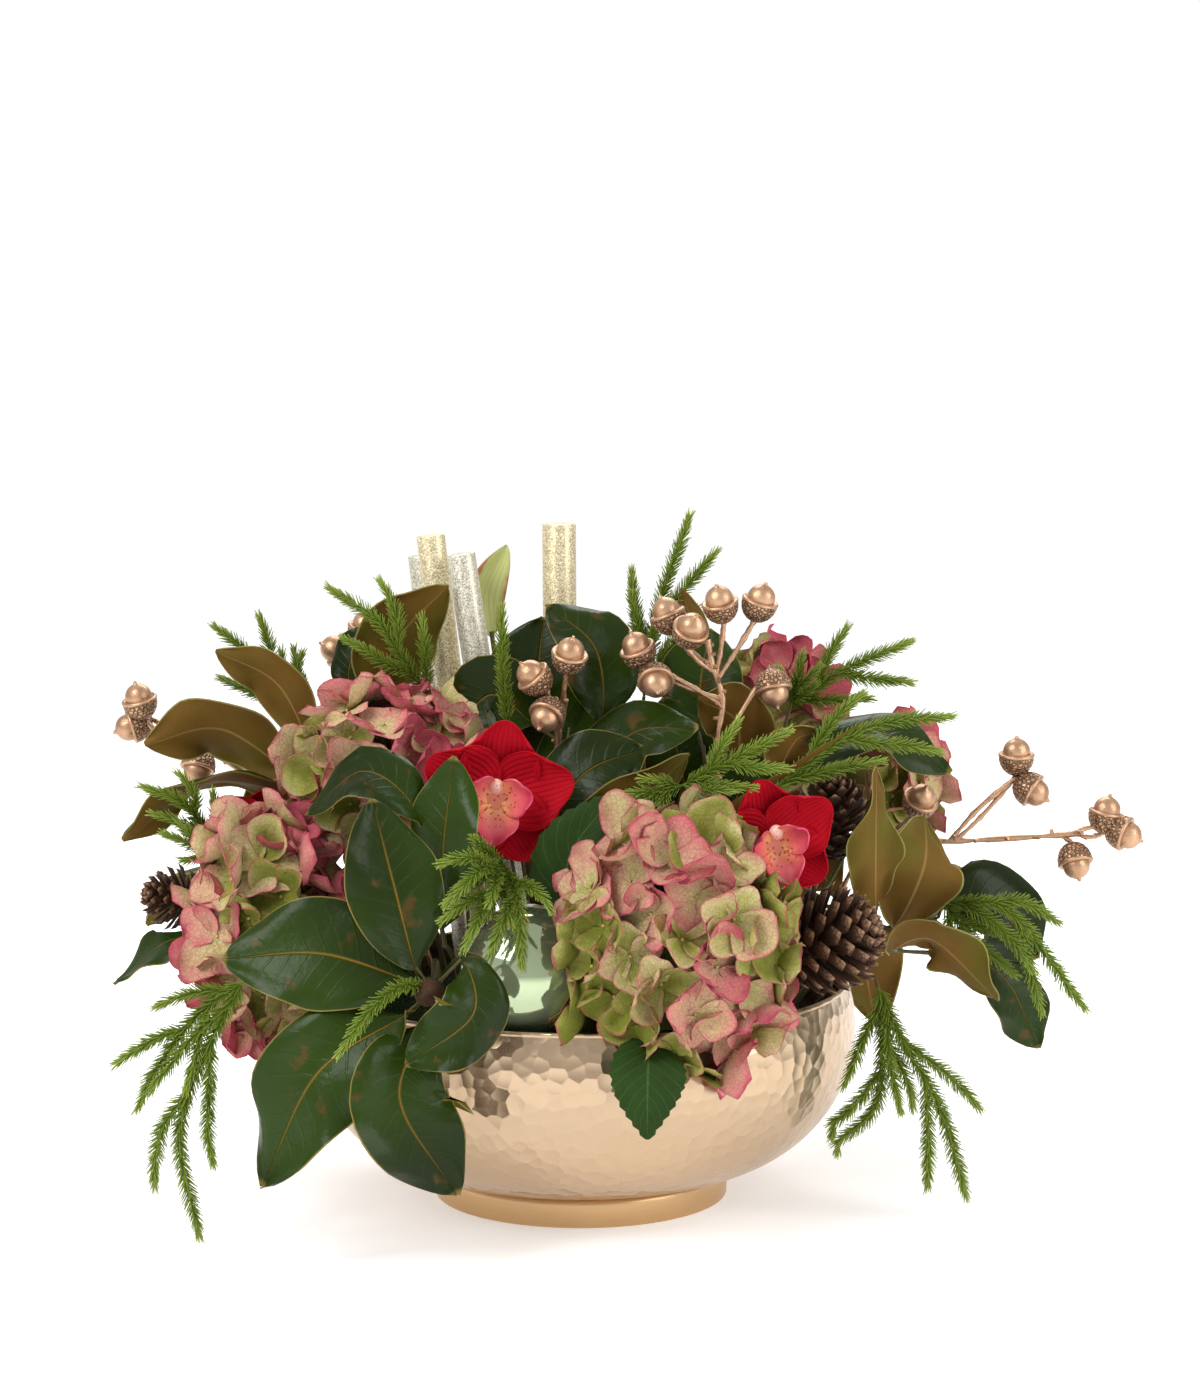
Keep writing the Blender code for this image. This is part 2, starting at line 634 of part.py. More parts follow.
# Magnolia sprays: the stem's hole and fork, then each leaf's base, middle and tip as the
# viewer sees them, its width, where its upper side looks, and its wave
magnolia_sprays = {
    "magnolia_front_left": ((-88, -104), [(-102, 166, 156), (-104, 142, 192)], [
        ((-120, 150, 194), (-183, 170, 194), (-252, 166, 186), 76, (0.1, -1, 0.5), 3),
        ((-116, 160, 196), (-132, 222, 194), (-146, 280, 172), 64, (0.3, -1, 0.1), 3),
        ((-124, 126, 200), (-186, 84, 214), (-226, 2, 204), 74, (-0.3, -1, 0.4), 7),
        ((-110, 120, 204), (-128, 64, 224), (-88, -4, 218), 68, (0.2, -1, 0.3), 7),
        ((-84, 166, 202), (-76, 126, 222), (-124, 90, 228), 50, (0.3, -1, 0.2), 6),
    ]),
    "magnolia_left_centre": ((-76, -84), [(-90, 168, 130), (-96, 176, 142)], [
        ((-98, 190, 148), (-96, 250, 160), (-88, 310, 152), 58, (-0.6, -1, 0.1), 3),
        ((-110, 262, 150), (-150, 300, 140), (-192, 268, 132), 46, (0, -0.6, 1), 3),
    ]),
    "magnolia_left_upper": ((-122, -18), [(-150, 220, 4), (-190, 296, 10)], [
        ((-204, 300, 16), (-252, 330, 20), (-304, 318, 26), 58, (-0.1, 1, 0.7), 4),
        ((-190, 318, 8), (-212, 362, 6), (-254, 384, 10), 38, (-0.3, 1, 0.6), 3),
        ((-204, 286, 22), (-262, 292, 34), (-320, 250, 40), 46, (-0.2, 0.5, 1), 4),
    ]),
    "magnolia_left_low": ((-148, -26), [(-206, 208, 26), (-244, 190, 50)], [
        ((-256, 184, 56), (-292, 178, 62), (-328, 148, 66), 42, (-0.2, -0.3, 1), 3),
    ]),
    "magnolia_top_left": ((-94, 6), [(-120, 260, 0), (-144, 340, -4)], [
        ((-144, 348, -2), (-126, 394, 2), (-92, 430, 2), 60, (-0.4, 1, 0.3), 3),
        ((-160, 352, -22), (-160, 378, -26), (-146, 402, -28), 34, (-0.6, -1, 0.2), 2),
    ]),
    "magnolia_top_centre": ((-8, -22), [(-6, 240, 30), (-10, 318, 42)], [
        ((-34, 334, 40), (-62, 354, 40), (-86, 330, 38), 56, (-0.2, -1, 0.2), 3),
        ((-8, 330, 32), (-28, 366, 34), (-26, 408, 26), 76, (-0.2, -1, 0.2), 3),
        ((14, 334, 54), (10, 386, 50), (-24, 416, 40), 58, (0.5, -1, 0.4), 4),
        ((-8, 262, 40), (6, 302, 36), (14, 352, 28), 78, (-0.1, -1, 0.2), 3),
        ((-22, 286, 26), (-36, 314, 24), (-46, 350, 22), 58, (-0.1, -1, 0.1), 2),
    ]),
    "magnolia_centre": ((8, -84), [(0, 200, 96), (-26, 234, 106)], [
        ((-26, 244, 108), (0, 296, 106), (44, 316, 98), 60, (-0.4, -1, 0.4), 3),
        ((-8, 262, 94), (32, 324, 84), (82, 330, 84), 60, (-0.1, -0.7, 1), 3),
        ((-22, 236, 112), (34, 274, 118), (76, 312, 108), 52, (-0.4, 1, 0.5), 3),
    ]),
    "magnolia_right_centre": ((54, -10), [(70, 240, 30), (88, 306, 44)], [
        ((108, 310, 48), (108, 336, 54), (82, 350, 56), 54, (0.2, 1, 0.4), 3),
        ((82, 330, 26), (84, 366, 20), (90, 400, 12), 60, (-0.2, -1, 0.2), 3),
        ((78, 262, 30), (70, 304, 28), (58, 352, 22), 64, (-0.1, -1, 0.2), 3),
        ((84, 350, 2), (80, 392, -6), (70, 428, -10), 24, (0.2, 1, 0.2), 2),
        ((98, 262, 60), (110, 284, 62), (122, 314, 60), 46, (-0.1, -1, 0.2), 2),
    ]),
    "magnolia_right_upper": ((92, -24), [(112, 240, 36), (128, 284, 46)], [
        ((136, 296, 66), (150, 322, 72), (164, 326, 66), 34, (-0.3, 1, 0.5), 3),
        ((138, 296, 34), (202, 328, 30), (258, 298, 28), 54, (0.1, -0.5, 1), 4),
    ]),
    "magnolia_right_tall": ((144, -26), [(186, 184, 36), (203, 186, 52)], [
        ((206, 196, 60), (206, 240, 92), (206, 304, 96), 40, (-0.8, 1, 0.2), 6),
        ((220, 190, 50), (240, 232, 66), (240, 268, 38), 62, (-0.3, 1, 0.3), 4),
    ]),
    "magnolia_right_low": ((146, 2), [(190, 176, 8), (222, 172, 30)], [
        ((220, 174, 58), (248, 180, 76), (294, 136, 74), 58, (0.1, 0.6, 1), 4),
        ((256, 204, 8), (290, 206, 4), (320, 166, 0), 66, (0.3, -1, 0.6), 3),
        ((268, 168, 10), (300, 150, 12), (322, 102, 8), 50, (0.5, -1, 0.5), 4),
    ]),
    "magnolia_back_left": ((-118, 66), [(-160, 190, -90), (-196, 210, -110)], [
        ((-206, 214, -112), (-258, 230, -124), (-304, 190, -132), 62, (-0.2, 0.4, 1), 4),
        ((-196, 226, -118), (-214, 268, -142), (-222, 306, -150), 54, (-0.3, 1, 0.2), 4),
        ((-190, 200, -126), (-206, 176, -184), (-214, 116, -222), 64, (-0.3, 1, 0.5), 5),
        ((-184, 206, -126), (-148, 210, -158), (-104, 204, -170), 56, (0, 0.7, 1), 4),
    ]),
    "magnolia_back_centre": ((6, 132), [(16, 190, -160), (14, 200, -182)], [
        ((6, 206, -190), (-30, 236, -216), (-64, 220, -250), 60, (-0.2, 1, 0.6), 4),
        ((20, 214, -186), (26, 270, -200), (20, 326, -190), 60, (0.1, 1, 0.2), 4),
        ((20, 196, -194), (40, 160, -230), (40, 92, -238), 66, (0.1, 1, 0.4), 5),
        ((22, 208, -172), (34, 236, -134), (40, 252, -92), 64, (0.1, 0.4, 1), 4),
    ]),
    "magnolia_back_right": ((112, 84), [(156, 190, -106), (184, 206, -128)], [
        ((192, 210, -132), (240, 226, -150), (292, 196, -168), 60, (0.2, 0.5, 1), 4),
        ((186, 196, -142), (196, 176, -196), (208, 118, -228), 62, (0.3, 1, 0.5), 5),
        ((176, 214, -146), (158, 256, -176), (140, 296, -186), 56, (0.1, 1, 0.3), 4),
        ((168, 204, -128), (124, 222, -134), (82, 214, -142), 66, (0, 0.6, 1), 4),
    ]),
}


# The short conifer sprig that is wired to the fork of the front magnolia
FRONT_SPRIG = ((-126, 146, 220), (-148, 130, 238), (-168, 102, 246))


def magnolia_spray(name, hole, fork, leaves):
    rows = 6 if "front" in name else 5
    holes = stem_hole(*hole)
    fork_points = [sight(*point) for point in fork]
    shapes = [stem(holes + fork_points)]
    joint = fork_points[-1]
    before = (joint - fork_points[-2]).normalized()
    for index, (base, middle, tip, width, face, wave) in enumerate(leaves):
        base, middle, tip = sight(*base), sight(*middle), sight(*tip)
        start = joint - before * (1 + 1.3 * index) * MM
        length = (base - start).length + (middle - base).length + (tip - middle).length
        stalk = max((base - start).length / length, 0.02)
        shapes.append(blade([start, base, middle, tip], width * MM, face, stalk=stalk,
                            wave=wave * MM, along=rows))
    if name == "magnolia_front_left":
        bud_base = joint - before * 3.7 * MM
        bud_axis = Vector((-0.25, -1, 0.05))
        bud = [(0, 3 * MM), (8 * MM, 10 * MM), (16 * MM, 9 * MM), (24 * MM, 2 * MM)]
        shapes.append(turned(bud_base, bud_axis, bud, 8))
        sprig = [joint - before * 5 * MM] + [sight(*point) for point in FRONT_SPRIG]
        shapes.append(needle_sprig(sprig, None))
    fuse(name, shapes, magnolia_finish)


for spray_name, spray_values in magnolia_sprays.items():
    magnolia_spray(spray_name, *spray_values)


def bud_leaf():
    """A pale pointed leaf, folded round itself, on a stem behind the glitter sticks."""
    holes = stem_hole(-34, 46)
    base = sight(-62, 398, -38)
    route = [sight(-48, 290, -44), base]
    shapes = [stem(holes + route)]
    leaf = [base - Vector((0, 0, 4 * MM)), sight(-66, 425, -38), sight(-51, 458, -36)]
    shapes.append(blade(leaf, 20 * MM, (0.3, -1, 0.1), fold=0.5, thickness=1.2 * MM, along=5))
    fuse("pale_bud_leaf", shapes, bud_finish)


bud_leaf()

# Acorn sprays: the stem's hole, the twig's points, then each acorn's place, where its nut
# points, and the point of the twig that it grows from
acorn_sprays = {
    "acorn_spray_centre": ((66, -38), [
        (92, 270, 74), (95, 320, 76), (99, 350, 74), (92, 372, 74), (88, 392, 72)], [
        ((61, 408, 66), (-0.4, 0, 1), 4), ((76, 398, 86), (0.3, -0.6, 0.8), 4),
        ((97, 416, 76), (-0.2, -0.3, 1), 4), ((124, 417, 70), (0.3, -0.2, 1), 4),
        ((40, 384, 70), (-0.4, -0.3, 1), 3), ((52, 364, 82), (0.1, -0.8, -0.5), 3),
        ((134, 359, 74), (0.2, -0.4, -1), 2),
    ]),
    "acorn_spray_small": ((-14, -54), [(-16, 250, 50), (-16, 318, 62), (-10, 350, 86)], [
        ((-32, 365, 88), (-0.7, -0.3, 0.8), 2), ((-8, 380, 84), (0.2, -0.4, 1), 2),
        ((-23, 340, 96), (-0.4, -0.7, -0.6), 2),
    ]),
    "acorn_spray_right": ((150, 30), [
        (196, 240, 4), (230, 250, 2), (262, 250, 2), (330, 254, 6), (352, 256, 8)], [
        ((304, 309, 2), (0, -0.1, 1), 3), ((314, 287, 8), (0.8, -0.3, -0.5), 3),
        ((367, 268, 6), (0.2, 0, 1), 5), ((379, 256, 12), (0.8, -0.4, -0.3), 5),
        ((346, 237, 10), (0.2, -0.5, -1), 4), ((237, 278, 14), (0.2, -0.4, 0.6), 1),
    ]),
    "acorn_spray_left": ((-136, 40), [(-196, 260, -36), (-246, 306, -28), (-286, 322, -24)], [
        ((-307, 348, -22), (-0.2, -0.2, 1), 3), ((-311, 332, -30), (-0.9, -0.2, -0.3), 3),
        ((-267, 304, -22), (-0.2, -0.5, -1), 2),
    ]),
    "acorn_spray_top_left": ((-104, 32), [(-140, 270, -44), (-150, 340, -56), (-152, 370, -58)], [
        ((-150, 399, -60), (0.2, -0.2, 1), 3), ((-168, 384, -56), (-0.8, -0.3, 0.4), 3),
    ]),
}
ACORN_RADIUS = 12 * MM
TWIG_RADIUS = 1.4 * MM
# Distance along the acorn from its cap's rim, and share of its radius
ACORN_SHAPE = ((-8, 0.8), (1, 1.0), (13, 0.16))


def acorn_spray(name, hole, twig, acorns):
    holes = stem_hole(*hole)
    twig_points = [sight(*point) for point in twig]
    shapes = [stem(holes + twig_points, radius=STEM_RADIUS, end_radius=TWIG_RADIUS)]
    for index, (place, face, fork) in enumerate(acorns):
        centre = sight(*place)
        face = Vector(face).normalized()
        seat = centre - face * 13 * MM
        start = twig_points[fork - 1]
        if fork > 1:
            start = start.lerp(twig_points[fork - 2], 0.13 * (index % 4))
        start = start + (start - seat).normalized() * (0.2 + 0.1 * index) * MM
        points = [start, seat]
        radii = [TWIG_RADIUS * 0.6, TWIG_RADIUS]
        for along, wide in ACORN_SHAPE:
            points.append(centre + face * along * MM)
            radii.append(ACORN_RADIUS * wide)
        shapes.append(tube(points, radii, 5))
    fuse(name, shapes, acorn_finish)


for spray_name, spray_values in acorn_sprays.items():
    acorn_spray(spray_name, *spray_values)


def floret(centre, outward, spin, size, back):
    """Four petals in one shallow dish, whose pointed back is sunk in the head at back."""
    shape = bmesh.new()
    bmesh.ops.create_cone(shape, cap_ends=True, cap_tris=True, segments=8,
                          radius1=1, radius2=0, depth=1)
    side = outward.orthogonal().normalized()
    up = outward.cross(side)
    for vertex in shape.verts:
        if vertex.co.xy.length < 0.01:
            vertex.co = back if vertex.co.z > 0 else centre - outward * 2.5 * MM
            continue
        index = round(math.atan2(-vertex.co.x, vertex.co.y) / math.tau * 8) % 8
        notch = index % 2 == 0
        turn = -math.tau * index / 8 + spin
        reach = size * (0.6 if notch else 1.0)
        lift = -2 * MM if notch else 2 * MM
        across = math.cos(turn) * side + math.sin(turn) * up
        vertex.co = centre + across * reach + outward * lift
    return shape


# Toothed leaves of the front hydrangea, from inside the head to the tip
HYDRANGEA_LEAVES = (
    ([(52, 124, 184), (48, 100, 206), (47, 70, 222), (47, 36, 224)], 48, (0.1, -1, 0.2)),
    ([(34, 196, 142), (-2, 206, 148), (-8, 240, 154), (26, 286, 152)], 48, (-0.3, -1, 0.2)),
)


def hydrangea_head(name, centre, half, hole, count):
    """Florets spread evenly over a smaller core; those that would touch a neighbour are left off."""
    centre = sight(*centre)
    half = Vector(half) * MM
    tree = crowd_tree()
    core_floor = BOWL_RIM_HEIGHT + 6 * MM if centre.xy.length < BOWL_BELLY_RADIUS else 0
    core = bmesh.new()
    bmesh.ops.create_uvsphere(core, u_segments=8, v_segments=6, radius=1)
    inset = 13 * MM
    for vertex in core.verts:
        vertex.co = Vector(vertex.co[axis] * (half[axis] - inset) for axis in range(3)) + centre
        vertex.co.z = max(vertex.co.z, core_floor)
        from_ball = vertex.co - BALL_CENTRE
        if from_ball.length < BALL_RADIUS + 4 * MM:
            vertex.co = BALL_CENTRE + from_ball.normalized() * (BALL_RADIUS + 4 * MM)
    shapes = [core]
    stem_points = stem_hole(*hole)
    stem_way = (stem_points[-1] - centre).normalized()
    draw = random.Random(name)
    golden = math.pi * (3 - math.sqrt(5))
    for index in range(count):
        height = 1 - 2 * (index + 0.5) / count
        level = math.sqrt(1 - height * height)
        turn = golden * index + 0.4
        unit = Vector((math.cos(turn) * level, math.sin(turn) * level, height))
        place = centre + Vector(unit[axis] * (half[axis] - 5 * MM) for axis in range(3))
        outward = Vector(unit[axis] / half[axis] for axis in range(3)).normalized()
        spin = draw.random() * math.tau
        size = (26 + draw.random() * 3) * MM
        if unit.dot(stem_way) > 0.6:
            continue
        back = place - outward * 16 * MM
        if back.z < core_floor:
            back = place.lerp(centre, 0.3)
            back.z = core_floor + 4 * MM
        for share in (1.0, 0.8, 0.62):
            shape = floret(place, outward, spin, size * share, back)
            inside = any(v.co.z < BOWL_RIM_HEIGHT + 3 * MM and v.co.xy.length < BOWL_BELLY_RADIUS + 1 * MM
                         for v in shape.verts)
            if not inside and not touches(shape, tree):
                shapes.append(shape)
                break
            shape.free()
    shapes.append(stem(stem_points + [centre]))
    if name == "hydrangea_front":
        for points, width, face in HYDRANGEA_LEAVES:
            route = [sight(*point) for point in points]
            shapes.append(blade(route, width * MM, face, stalk=0.2, fold=0.2, along=6,
                                bulge=-12 * MM, thickness=1 * MM))
    fuse(name, shapes, hydrangea_finish)


def touches(shape, tree):
    if tree is None:
        return False
    return bool(BVHTree.FromBMesh(shape).overlap(tree))


for head_name, head_values in hydrangea_heads.items():
    hydrangea_head(head_name, *head_values)

# Conifer sprigs: the stem's hole, the stem's points up to where the needles start, then the
# needled branches, each a line of points as the viewer sees them
conifer_sprigs = {
    "conifer_top_left": ((-76, -14), [(-82, 240, 4), (-94, 330, 2)], [
        [(-104, 346, 6), (-123, 378, 18), (-141, 405, 16), (-171, 426, 10)]]),
    "conifer_far_left": ((-118, 48), [(-160, 260, -40), (-184, 318, -34)], [
        [(-190, 330, -34), (-225, 376, -30), (-251, 399, -26)],
        [(-190, 330, -34), (-206, 356, -44), (-208, 380, -50)]]),
    "conifer_left": ((-150, 8), [(-206, 206, 8), (-250, 226, 36)], [
        [(-254, 244, 54), (-276, 276, 66), (-302, 287, 72)],
        [(-254, 242, 56), (-268, 246, 70), (-288, 254, 72)]]),
    "conifer_trailing_left": ((-124, -98), [(-152, 152, 150), (-206, 148, 166)], [
        [(-238, 150, 168), (-272, 124, 168), (-300, 86, 172), (-312, 62, 172)],
        [(-236, 144, 170), (-264, 100, 174), (-284, 40, 174), (-272, -30, 168)]]),
    "conifer_upright": ((-34, -34), [(-50, 250, 44), (-52, 320, 60)], [
        [(-51, 332, 62), (-54, 370, 62), (-55, 410, 58)]]),
    "conifer_over_ball": ((-46, -72), [(-50, 210, 100), (-58, 236, 128)], [
        [(-54, 232, 150), (-70, 230, 198), (-92, 208, 214)],
        [(-56, 228, 150), (-68, 204, 192), (-80, 178, 204)],
        [(-54, 230, 146), (-44, 206, 190), (-42, 166, 198)]]),
    "conifer_top_right": ((30, 10), [(38, 260, -10), (42, 340, -12)], [
        [(44, 352, -12), (54, 414, -14), (74, 474, -16)],
        [(44, 370, -12), (40, 398, -8), (36, 420, -6)]]),
    "conifer_right_upper": ((104, 16), [(130, 270, 4), (142, 330, 6)], [
        [(146, 346, 8), (185, 372, 10), (225, 389, 8)],
        [(146, 346, 8), (150, 364, 22), (153, 378, 28)]]),
    "conifer_centre_right": ((54, -62), [(66, 240, 112), (70, 284, 130)], [
        [(72, 290, 136), (97, 303, 142), (141, 326, 134)],
        [(66, 286, 136), (50, 282, 146), (34, 268, 148)],
        [(74, 288, 138), (92, 278, 150), (106, 268, 154)]]),
    "conifer_right_middle": ((120, -8), [(128, 230, 60), (134, 270, 74)], [
        [(134, 284, 82), (172, 316, 74), (214, 334, 66), (254, 338, 58)]]),
    "conifer_right_outer": ((150, 22), [(206, 184, 14), (246, 192, 26)], [
        [(254, 206, 34), (300, 200, 52), (352, 134, 46)],
        [(254, 200, 36), (276, 180, 48), (302, 158, 50)]]),
    "conifer_trailing_right": ((148, -52), [(186, 160, 64), (204, 156, 76)], [
        [(209, 146, 84), (228, 104, 94), (254, 58, 88), (272, -2, 76)],
        [(226, 100, 98), (210, 66, 92), (180, 32, 86)]]),
    "conifer_back_left": ((-54, 138), [(-70, 194, -158), (-96, 198, -200)], [
        [(-102, 190, -212), (-120, 140, -246), (-124, 76, -254)],
        [(-102, 200, -210), (-130, 222, -226), (-158, 222, -238)]]),
    "conifer_back_right": ((74, 118), [(86, 196, -162), (96, 200, -186)], [
        [(98, 200, -194), (112, 240, -224), (118, 290, -236)],
        [(98, 192, -196), (104, 150, -240), (100, 80, -250)]]),
}


def conifer_sprig(name, hole, stalk, branches):
    tree = crowd_tree()
    stalk_points = [sight(*point) for point in stalk]
    first = sight(*branches[0][0])
    shapes = [stem(stem_hole(*hole) + stalk_points + [first], radius=1.4 * MM, end_radius=1.2 * MM)]
    for branch in branches:
        points = [sight(*point) for point in branch]
        points[0] = points[0] if branch is branches[0] else first.lerp(points[0], 0.04)
        shapes.append(needle_sprig(points, tree))
    fuse(name, shapes, sprig_finish)


for sprig_name, sprig_values in conifer_sprigs.items():
    conifer_sprig(sprig_name, *sprig_values)

# The stems' holes are cut out of the foam together
holes_cut = foam.modifiers.new("Stem holes", "BOOLEAN")
holes_cut.operand_type = "COLLECTION"
holes_cut.collection = cutters
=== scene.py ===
"""A winter flower arrangement in a wide hammered bowl, dressed piece by piece over its solid frame."""

import math
import random

import bmesh
import bpy
from mathutils import Matrix, Vector, noise
from mathutils.bvhtree import BVHTree


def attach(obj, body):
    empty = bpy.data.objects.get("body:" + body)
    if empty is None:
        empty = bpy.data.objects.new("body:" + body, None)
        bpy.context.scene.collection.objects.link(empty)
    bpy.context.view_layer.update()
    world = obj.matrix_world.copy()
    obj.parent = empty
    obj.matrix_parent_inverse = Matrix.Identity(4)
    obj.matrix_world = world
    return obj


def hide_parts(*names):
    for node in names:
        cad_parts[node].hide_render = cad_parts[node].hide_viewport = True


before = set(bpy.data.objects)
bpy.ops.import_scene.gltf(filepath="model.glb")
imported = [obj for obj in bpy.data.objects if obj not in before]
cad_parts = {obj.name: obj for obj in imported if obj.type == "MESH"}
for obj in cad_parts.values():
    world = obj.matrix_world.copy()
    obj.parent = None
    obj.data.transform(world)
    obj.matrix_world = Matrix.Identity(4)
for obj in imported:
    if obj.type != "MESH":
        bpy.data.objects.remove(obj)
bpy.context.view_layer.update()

# The bowl: spun metal in warm pale gold, polished and then hammered from outside in small
# dimples. Its wall turns in a little at the top and ends in a narrow rolled rim.
MM = 0.001
BOWL_FLOOR_HEIGHT = 20 * MM
BOWL_FLOOR_RADIUS = 88 * MM
BOWL_BELLY_RADIUS = 193 * MM
BOWL_BELLY_HEIGHT = 120 * MM
BOWL_RIM_HEIGHT = 153 * MM
BOWL_WALL = 2 * MM
RIM_ROLL = 1.9 * MM
WALL_STEPS = 40
HAMMER_MARKS = 112  # to the metre


class Signal:
    """The output of a node. Python's signs on it add Math nodes, and node() adds any other."""

    def __init__(self, tree, output=None):
        self.tree = tree
        self.output = output

    def node(self, kind, settings=None, sockets=None, output=0):
        made = self.tree.nodes.new("ShaderNode" + kind)
        for name, value in (settings or {}).items():
            if name == "stops":
                for place, colour in value[1:-1]:
                    made.color_ramp.elements.new(place).color = (*colour, 1)
                for index, (place, colour) in ((0, value[0]), (-1, value[-1])):
                    made.color_ramp.elements[index].position = place
                    made.color_ramp.elements[index].color = (*colour, 1)
            else:
                setattr(made, name, value)
        for name, value in (sockets or {}).items():
            if isinstance(value, Signal):
                self.tree.links.new(value.output, made.inputs[name])
            else:
                made.inputs[name].default_value = value
        return Signal(self.tree, made.outputs[output])

    def math(self, operation, first, second=0.5):
        return self.node("Math", {"operation": operation}, {0: first, 1: second})

    def __add__(self, other):
        return self.math("ADD", self, other)

    def __radd__(self, other):
        return self.math("ADD", other, self)

    def __sub__(self, other):
        return self.math("SUBTRACT", self, other)

    def __rsub__(self, other):
        return self.math("SUBTRACT", other, self)

    def __mul__(self, other):
        return self.math("MULTIPLY", self, other)

    def __rmul__(self, other):
        return self.math("MULTIPLY", other, self)

    def __abs__(self):
        return self.math("ABSOLUTE", self)


def finish(name):
    """A new material, and the empty Signal that its nodes start from."""
    material = bpy.data.materials.new(name)
    material.use_nodes = True
    return material, Signal(material.node_tree)


def dress(material, **sockets):
    """Sets or links the sockets of the material's shader."""
    shader = material.node_tree.nodes["Principled BSDF"]
    for name, value in sockets.items():
        socket = shader.inputs[name.replace("_", " ")]
        if isinstance(value, Signal):
            material.node_tree.links.new(value.output, socket)
        else:
            socket.default_value = value


def place_in(start):
    return start.node("TexCoord", output=3)


def grain(start, scale, detail=2.0, where=None):
    """Soft cloudy noise from 0 to 1, so many to the metre."""
    where = where or place_in(start)
    return start.node("TexNoise", {}, {"Vector": where, "Scale": scale, "Detail": detail})


def cells(start, scale, feature="F1", output=0):
    return start.node("TexVoronoi", {"feature": feature}, {"Vector": place_in(start), "Scale": scale}, output)


def step(value, low, high):
    """0 below low, 1 above high, and a smooth rise between."""
    return value.node("MapRange", {"interpolation_type": "SMOOTHSTEP"}, {0: value, 1: low, 2: high})


def between(share, first, second):
    """A colour mixed from two, each a Signal or three numbers."""
    first, second = (colour if isinstance(colour, Signal) else (*colour, 1) for colour in (first, second))
    return share.node("Mix", {"data_type": "RGBA"}, {0: share, 6: first, 7: second}, 2)


def bump(height, distance, strength):
    """A relief from a height. distance is in millimetres."""
    return height.node("Bump", {}, {"Height": height, "Distance": distance * MM, "Strength": strength})


def lathe(profile, steps):
    """A closed body from a profile of (radius, height) points, spun round the upright axis."""
    body = bmesh.new()
    points = [body.verts.new((radius, 0, height)) for radius, height in profile]
    edges = [body.edges.new(pair) for pair in zip(points, points[1:])]
    bmesh.ops.spin(body, geom=points + edges, cent=(0, 0, 0), axis=(0, 0, 1), angle=math.tau,
                   steps=steps, use_merge=True)
    bmesh.ops.remove_doubles(body, verts=body.verts[:], dist=1e-6)
    bmesh.ops.recalc_face_normals(body, faces=body.faces[:])
    return body


def show(node, shape, materials, crease=40):
    """Turns a finished shape into a piece that stands for its CAD node."""
    for face in shape.faces:
        face.smooth = True
    mesh = bpy.data.meshes.new(node)
    shape.to_mesh(mesh)
    shape.free()
    for material in materials:
        mesh.materials.append(material)
    mesh.set_sharp_from_angle(angle=math.radians(crease))
    made = bpy.data.objects.new(node + "_detail", mesh)
    bpy.context.scene.collection.objects.link(made)
    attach(made, "root")
    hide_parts(node)


def bowl_curve(inset, turns):
    reach = BOWL_BELLY_RADIUS - BOWL_FLOOR_RADIUS
    drop = BOWL_BELLY_HEIGHT - BOWL_FLOOR_HEIGHT - inset
    return [(BOWL_FLOOR_RADIUS + reach * math.cos(turn) - inset * math.cos(turn),
             BOWL_BELLY_HEIGHT + drop * math.sin(turn)) for turn in turns]


rim_turn = math.asin((BOWL_RIM_HEIGHT - BOWL_BELLY_HEIGHT) / (BOWL_BELLY_HEIGHT - BOWL_FLOOR_HEIGHT))
wall_turns = [rim_turn + (-math.pi / 2 - rim_turn) * index / WALL_STEPS for index in range(WALL_STEPS + 1)]
rim_across = bowl_curve(BOWL_WALL / 2, [rim_turn])[0][0]
rolled_rim = []
for index in range(9):
    turn = math.pi * (1.15 - 1.4 * index / 8)
    rolled_rim.append((rim_across + RIM_ROLL * math.cos(turn), BOWL_RIM_HEIGHT + RIM_ROLL * math.sin(turn)))
bowl_profile = [(0, BOWL_FLOOR_HEIGHT + BOWL_WALL)] + bowl_curve(BOWL_WALL, wall_turns[:1:-1])
bowl_profile += rolled_rim + bowl_curve(0, wall_turns[2:]) + [(0, BOWL_FLOOR_HEIGHT)]

bowl_gold, start = finish("hammered_gold")
hammered = start.node("TexVoronoi", {"feature": "SMOOTH_F1"},
                      {"Vector": place_in(start), "Scale": HAMMER_MARKS, "Smoothness": 0.2})
dimples = hammered * hammered
gold = between(grain(start, 9), (0.60, 0.445, 0.30), (0.52, 0.375, 0.24))
dress(bowl_gold, Base_Color=gold, Metallic=1.0, Roughness=0.24 + 0.10 * grain(start, 40),
      Normal=bump(dimples, 2.6, 0.42))
show("bowl", lathe(bowl_profile, 192), [bowl_gold])

# The foot: a shallow pan of the same metal, left satin and plain, with a rounded shoulder.
# The bowl is seated on its inner edge.
FOOT_RADIUS = 103 * MM
FOOT_TOP = 20.3 * MM
FOOT_WALL = 6 * MM
FOOT_FLOOR = 2 * MM
SHOULDER_ACROSS = 4 * MM
SHOULDER_UP = 5 * MM
FOOT_EDGE = 1.4 * MM
foot_profile = [(0, FOOT_FLOOR), (FOOT_RADIUS - FOOT_WALL, FOOT_FLOOR), (FOOT_RADIUS - FOOT_WALL, FOOT_TOP)]
for index in range(7):
    turn = math.pi / 2 * (1 - index / 6)
    foot_profile.append((FOOT_RADIUS - SHOULDER_ACROSS + SHOULDER_ACROSS * math.cos(turn),
                         FOOT_TOP - SHOULDER_UP + SHOULDER_UP * math.sin(turn)))
foot_profile += [(FOOT_RADIUS, FOOT_EDGE), (FOOT_RADIUS - 0.4 * MM, 0.4 * MM), (FOOT_RADIUS - FOOT_EDGE, 0), (0, 0)]
